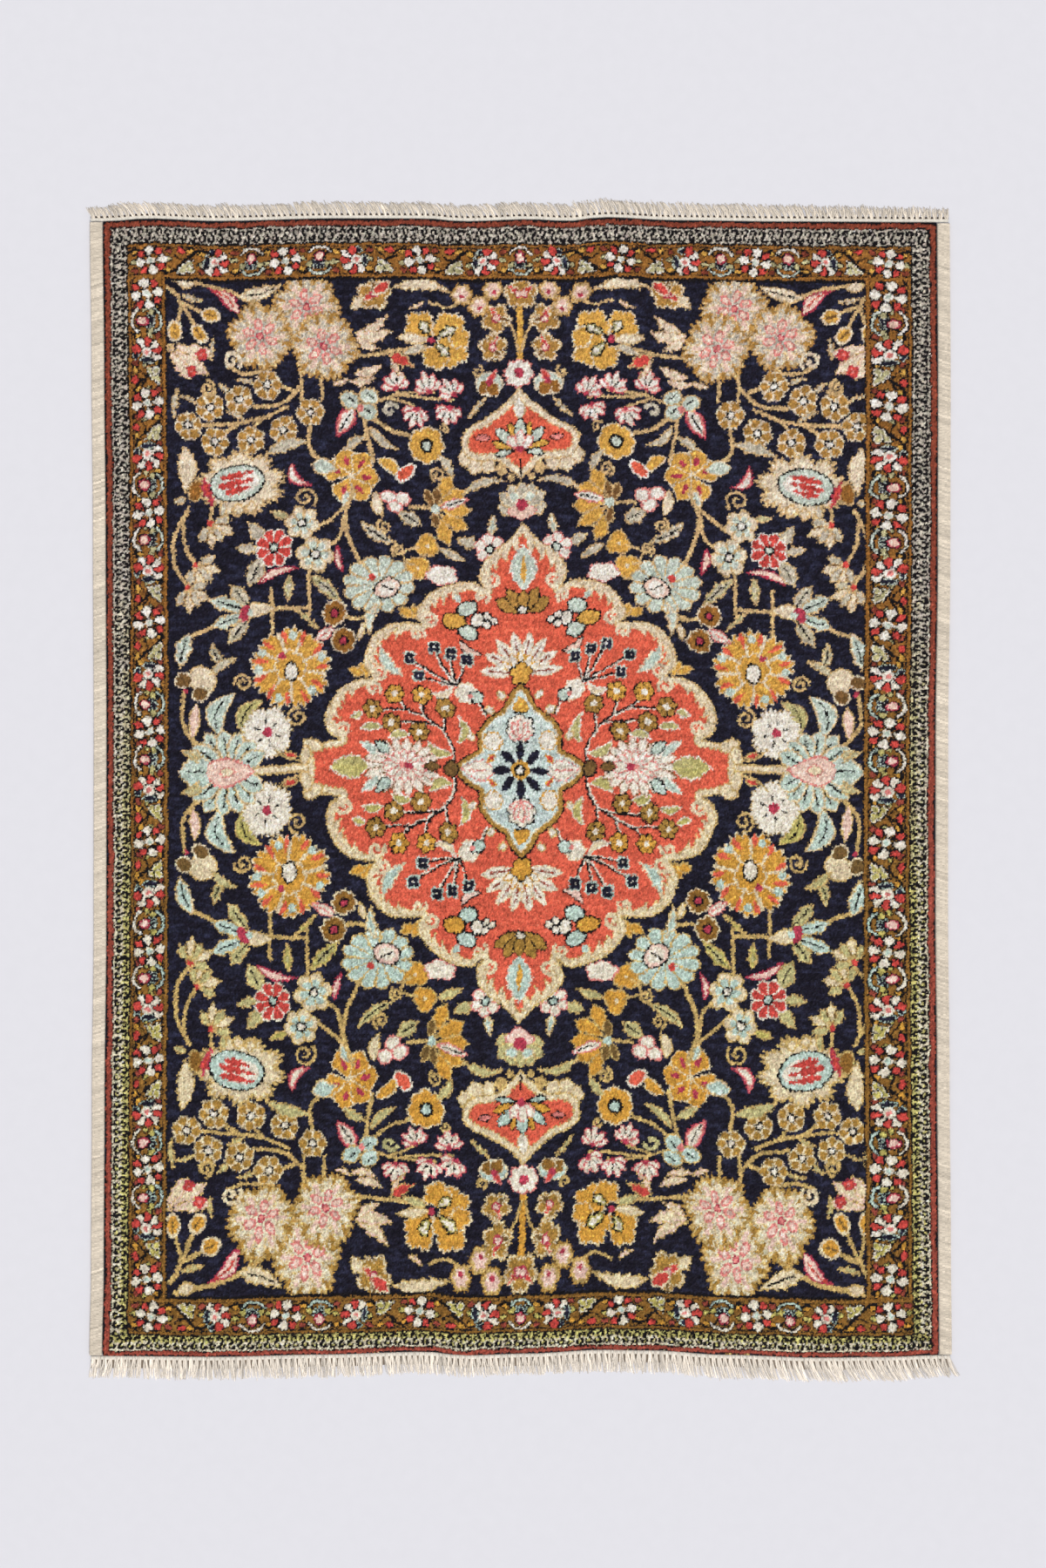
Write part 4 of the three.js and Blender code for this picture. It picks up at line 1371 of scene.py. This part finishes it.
# %% Measures of the overcast cords
WRAP = 2.4              # mm from wrap to wrap
WRAP_RISE = 0.3         # mm
WRAP_SLANT = 0.35       # mm along the edge for each mm across
CORD_STEP = 0.8         # mm between sections
SEAM_GAP = 0.3          # mm between the pile and the cord
WRAP_MIDDLE = 0.6       # share of the rise that leaves the section at its mean height
CORD_OUTER = 13         # mm out from the pile, past which the wraps also push outwards
CORD_SHADE = "#dacdbb"
WRAP_TONE = 0.09        # spread of the tone from wrap to wrap
FACE_TONE = 0.1         # spread of the tone from face to face
CORD_SECTION = np.array([
    # out from the pile, up from the floor, share of the wrap's rise
    (0, 0.4, 0), (3, 0, 0), (11, 0, 0), (13.4, 0.3, 0), (14.4, 1.4, 1),
    (14.4, 2.6, 1), (13.6, 3.5, 1), (12.6, 3.7, 1), (11.6, 3.2, 1), (10.4, 3.7, 1),
    (7.5, 3.9, 1), (4.5, 3.8, 1), (1.6, 3.6, 1), (0.2, 2.8, 1),
])


# %% Sweeps and cords
def swept_faces(first, size):
    """Faces from each closed section of points to the next; first holds each section's first number."""
    ring = first[..., None] + np.arange(size)
    after = np.roll(ring, -1, -1)
    return np.stack([ring, after, after + size, ring + size], -1).reshape(-1, 4)


def one_shade(shade, tones):
    """The colours of faces of four corners that share a shade, each face in a tone of its own."""
    return np.repeat((linear(shade) * tones[:, None])[:, None, :], 4, 1)


def side_cord(node, edge, side):
    """The cord of one long edge; side is -1 on the left and 1 on the right."""
    low, high = (np.array(corner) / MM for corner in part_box(node))
    places = np.arange(low[1] + CORD_STEP, high[1] - CORD_STEP, CORD_STEP)[:, None]
    out, up, rises = CORD_SECTION.T
    wraps = (places + WRAP_SLANT * out) / WRAP
    rise = WRAP_RISE * rises * (np.abs(np.sin(np.pi * wraps)) - WRAP_MIDDLE)
    inner = np.interp(places, *edge) + side * SEAM_GAP
    x = inner + side * (out + rise * (out > CORD_OUTER))
    points = np.stack([x, np.broadcast_to(places, x.shape), np.maximum(up + rise, 0)], -1)
    count, size = x.shape
    quads = swept_faces(np.arange(count - 1) * size, size)
    ring = np.arange(size)
    ends = [ring[::-1], ring + (count - 1) * size]
    wrap_tone = np.exp(dice.normal(0, WRAP_TONE, int(wraps.max() - wraps.min()) + 2))
    tones = wrap_tone[(wraps - wraps.min()).astype(int)][:-1].ravel()
    tones = tones * np.exp(dice.normal(0, FACE_TONE, tones.shape))
    if side < 0:
        quads = quads[:, ::-1]
        ends = [end[::-1] for end in ends]
    cord = make_piece(
        f"overcast_{node}", points.reshape(-1, 3), quads, one_shade(CORD_SHADE, tones), overcast_cotton,
        ends, smooth=True)
    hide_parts(node)
    return cord


cords = [side_cord("side_cord_left", left_edge, -1), side_cord("side_cord_right", right_edge, 1)]

# %% [markdown]
# ## Fringe
# The warps run out past the last row at each end. At the far end a narrow woven band shows before
# they are knotted into locks; at the near end the locks start at the pile. Each lock is drawn in at
# its knot, so small gaps stay between the roots, and a low dark strip laid under them paints their
# shadow. Hair particles could do this, but plain thin tubes keep every strand where the imported
# fringe has it.

# %% Fringe tables
LOCKS = 150
STRANDS = 9             # in each lock
STRAND_RADIUS = 0.58    # mm
STRAND_STEPS = 7
LOCK_NECK = 0.95        # mm either side of a lock's middle at its knot
LOCK_SPREAD = 3.1       # mm either side at the tips
TUBE_SIDES = 4
STRAND_STRAYS = 0.12    # share of half the lock that a strand lies off its place
LEAN_VARIES = 0.05      # mm aside for each mm of reach, from lock to lock
LOCK_VARIES = 0.6       # mm of reach, from lock to lock
STRAND_VARIES = 1.1     # mm of reach, from strand to strand
TIP_STRAYS = 0.9        # mm that a tip curves aside
STRAND_WAVE = 0.25      # mm
STRAND_LOW = 0.9        # mm above the floor at the knot, for the lowest strands
STRAND_RISE = 0.9       # mm, how much higher the highest ones start
UNDER_KNOT = 1.2        # mm that the strands start before their knot
BAND_WIDE = 4.2
BAND_HIGH = 1.5
BAND_WAVE = 0.3         # share of the band's height that it rises and falls at each lock
RIBBON_STEP = 1.1       # mm
FRINGE_INSET = 14       # mm past the pile's corner on either side
FAR_HABIT = np.array([
    # across, lean (mm aside for each mm of reach), reach past the band
    (-495, -0.36, 13), (-440, -0.62, 15), (-250, -0.46, 15), (0, -0.55, 15),
    (120, -0.36, 16.5), (300, -0.42, 15.5), (430, -0.12, 14), (495, 0.02, 11.5),
])
NEAR_HABIT = np.array([
    (-495, -0.16, 20), (-420, 0.04, 22), (-200, 0.08, 22), (0, 0.12, 20),
    (140, 0.04, 22), (280, 0.34, 23.5), (400, 0.42, 23), (495, 0.4, 21),
])
FRINGE_ENDS = {
    # node: (edge, direction, habit, where the knots sit past the pile, width and height of the low dark
    # strip that paints the shadow behind the strands, its painted shadow shade, shade of the strands)
    "fringe_far": (far_edge, 1, FAR_HABIT, 4.4, (1.7, 1.55), "#4a3e36", "#eee3d4"),
    "fringe_near": (near_edge, -1, NEAR_HABIT, 1.2, (13, 0.5), "#8a7c6e", "#f6ecdf"),
}
BAND_SHADE = "#e9e2d6"
STRAND_TONE, BAND_TONE, SHADOW_STRIP_TONE = 0.18, 0.06, 0.1      # spread of the tone from face to face


# %% Strands, band and the strip of painted shadow behind the strands
def tubes(paths, radius):
    """Four-sided tubes along paths (tube, step, 3): points, faces and end rings."""
    count, steps = paths.shape[:2]
    ahead = np.gradient(paths, axis=1)
    aside = np.stack([-ahead[..., 1], ahead[..., 0], np.zeros((count, steps))], -1)
    aside /= np.linalg.norm(aside, axis=-1, keepdims=True)
    upward = np.broadcast_to(np.array([0, 0, 1.0]), aside.shape)
    spokes = np.stack([-aside, -upward, aside, upward], 2)
    points = paths[:, :, None] + spokes * radius[..., None, None]
    points[..., 2] = np.maximum(points[..., 2], 0)
    sections = (np.arange(count)[:, None] * steps + np.arange(steps - 1)) * TUBE_SIDES
    first = sections[:, :1] + np.arange(TUBE_SIDES)
    ends = [first[:, ::-1], first + (steps - 1) * TUBE_SIDES]
    return points.reshape(-1, 3), np.concatenate([swept_faces(sections, TUBE_SIDES), *ends])


def ribbon(edge, direction, start, wide, high, span, wave=0):
    """A low strip along an end of the rug, from start to start + wide past the pile."""
    x = np.arange(span[0], span[1], RIBBON_STEP)
    lie = np.interp(x, *edge)
    lift = 1 + wave * (np.abs(np.sin(np.pi * (x - span[0]) / (np.ptp(span) / LOCKS))) - 0.5)
    profile = ((0, 0), (wide, 0), (wide, 0.6), (wide * 0.7, 1), (wide * 0.3, 1), (0, 0.8))
    points = [np.stack([x, lie + direction * (start + out), up * high * lift], -1) for out, up in profile]
    points = np.stack(points, 1)
    count, size = points.shape[:2]
    quads = swept_faces(np.arange(count - 1) * size, size)
    return points.reshape(-1, 3), quads if direction < 0 else quads[:, ::-1]


# %% How the strands lie
def strand_paths(edge, direction, habit, knots_at, span):
    """The middle line of every strand, flat on the floor and leaning as its lock does."""
    pitch = np.ptp(span) / LOCKS
    lock = span[0] + (np.arange(LOCKS) + 0.5)[:, None, None] * pitch
    place = np.linspace(-1, 1, STRANDS)[None, :, None] + dice.normal(0, STRAND_STRAYS, (LOCKS, STRANDS, 1))
    t = np.linspace(0, 1, STRAND_STEPS)[None, None, :]
    lean = np.interp(lock, habit[:, 0], habit[:, 1]) + dice.normal(0, LEAN_VARIES, lock.shape)
    reach = np.interp(lock, habit[:, 0], habit[:, 2]) + SEAM_GAP + BAND_WIDE - knots_at
    reach = reach + dice.normal(0, LOCK_VARIES, lock.shape)
    reach = reach + dice.normal(0, STRAND_VARIES, place.shape)
    opening = LOCK_NECK + (LOCK_SPREAD - LOCK_NECK) * np.minimum(t * 1.5, 1) ** 0.8
    curve = dice.normal(0, TIP_STRAYS, place.shape) * t**2
    curve = curve + STRAND_WAVE * np.sin(9 * t + dice.uniform(0, 6, place.shape))
    x = lock + place * opening + lean * reach * (0.3 * t + 0.7 * t**2) + curve
    y = np.interp(lock, *edge) + direction * (knots_at - UNDER_KNOT + reach * t)
    height = STRAND_LOW + dice.uniform(0, STRAND_RISE, place.shape)
    z = height * (1 - 0.75 * t**2) + 0.3 * np.sin(np.pi * t)
    return np.stack(np.broadcast_arrays(x, y, z), -1).reshape(-1, STRAND_STEPS, 3)


# %% One fringe from its parts
def fringe(node):
    """One end's fringe: the strands, the woven band, and a dark strip of painted shadow behind the
    strands.
    """
    edge, direction, habit, knots_at, shadow_strip_size, painted_shadow_shade, shade = FRINGE_ENDS[node]
    corner = carpet_low[1] if direction < 0 else carpet_high[1]
    span = (np.interp(corner, *left_edge) - FRINGE_INSET, np.interp(corner, *right_edge) + FRINGE_INSET)
    paths = strand_paths(edge, direction, habit, knots_at, span)
    taper = np.linspace(1, 0.6, STRAND_STEPS)
    parts = [
        (*tubes(paths, np.broadcast_to(STRAND_RADIUS * taper, paths.shape[:2])), shade, STRAND_TONE),
        (*ribbon(edge, direction, SEAM_GAP, BAND_WIDE, BAND_HIGH, span, BAND_WAVE), BAND_SHADE, BAND_TONE),
        # Painted shadow: a low dark strip behind the strands darkens the gaps between the locks' roots.
        (*ribbon(edge, direction, knots_at, *shadow_strip_size, span), painted_shadow_shade, SHADOW_STRIP_TONE),
    ]
    points, quads, shades, used = [], [], [], 0
    for part_points, part_quads, part_shade, unevenness in parts:
        group = max(len(part_quads) // (LOCKS * STRANDS), 1)
        tone = np.exp(dice.normal(0, unevenness, len(part_quads) // group + 1))
        tone = np.repeat(tone, group)[:len(part_quads)]
        points.append(part_points)
        quads.append(part_quads + used)
        shades.append(one_shade(part_shade, tone))
        used += len(part_points)
    piece = make_piece(
        f"warp_{node}", np.vstack(points), np.vstack(quads), np.vstack(shades), warp_cotton,
        smooth=True)
    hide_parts(node)
    return piece


fringes = [fringe(node) for node in FRINGE_ENDS]
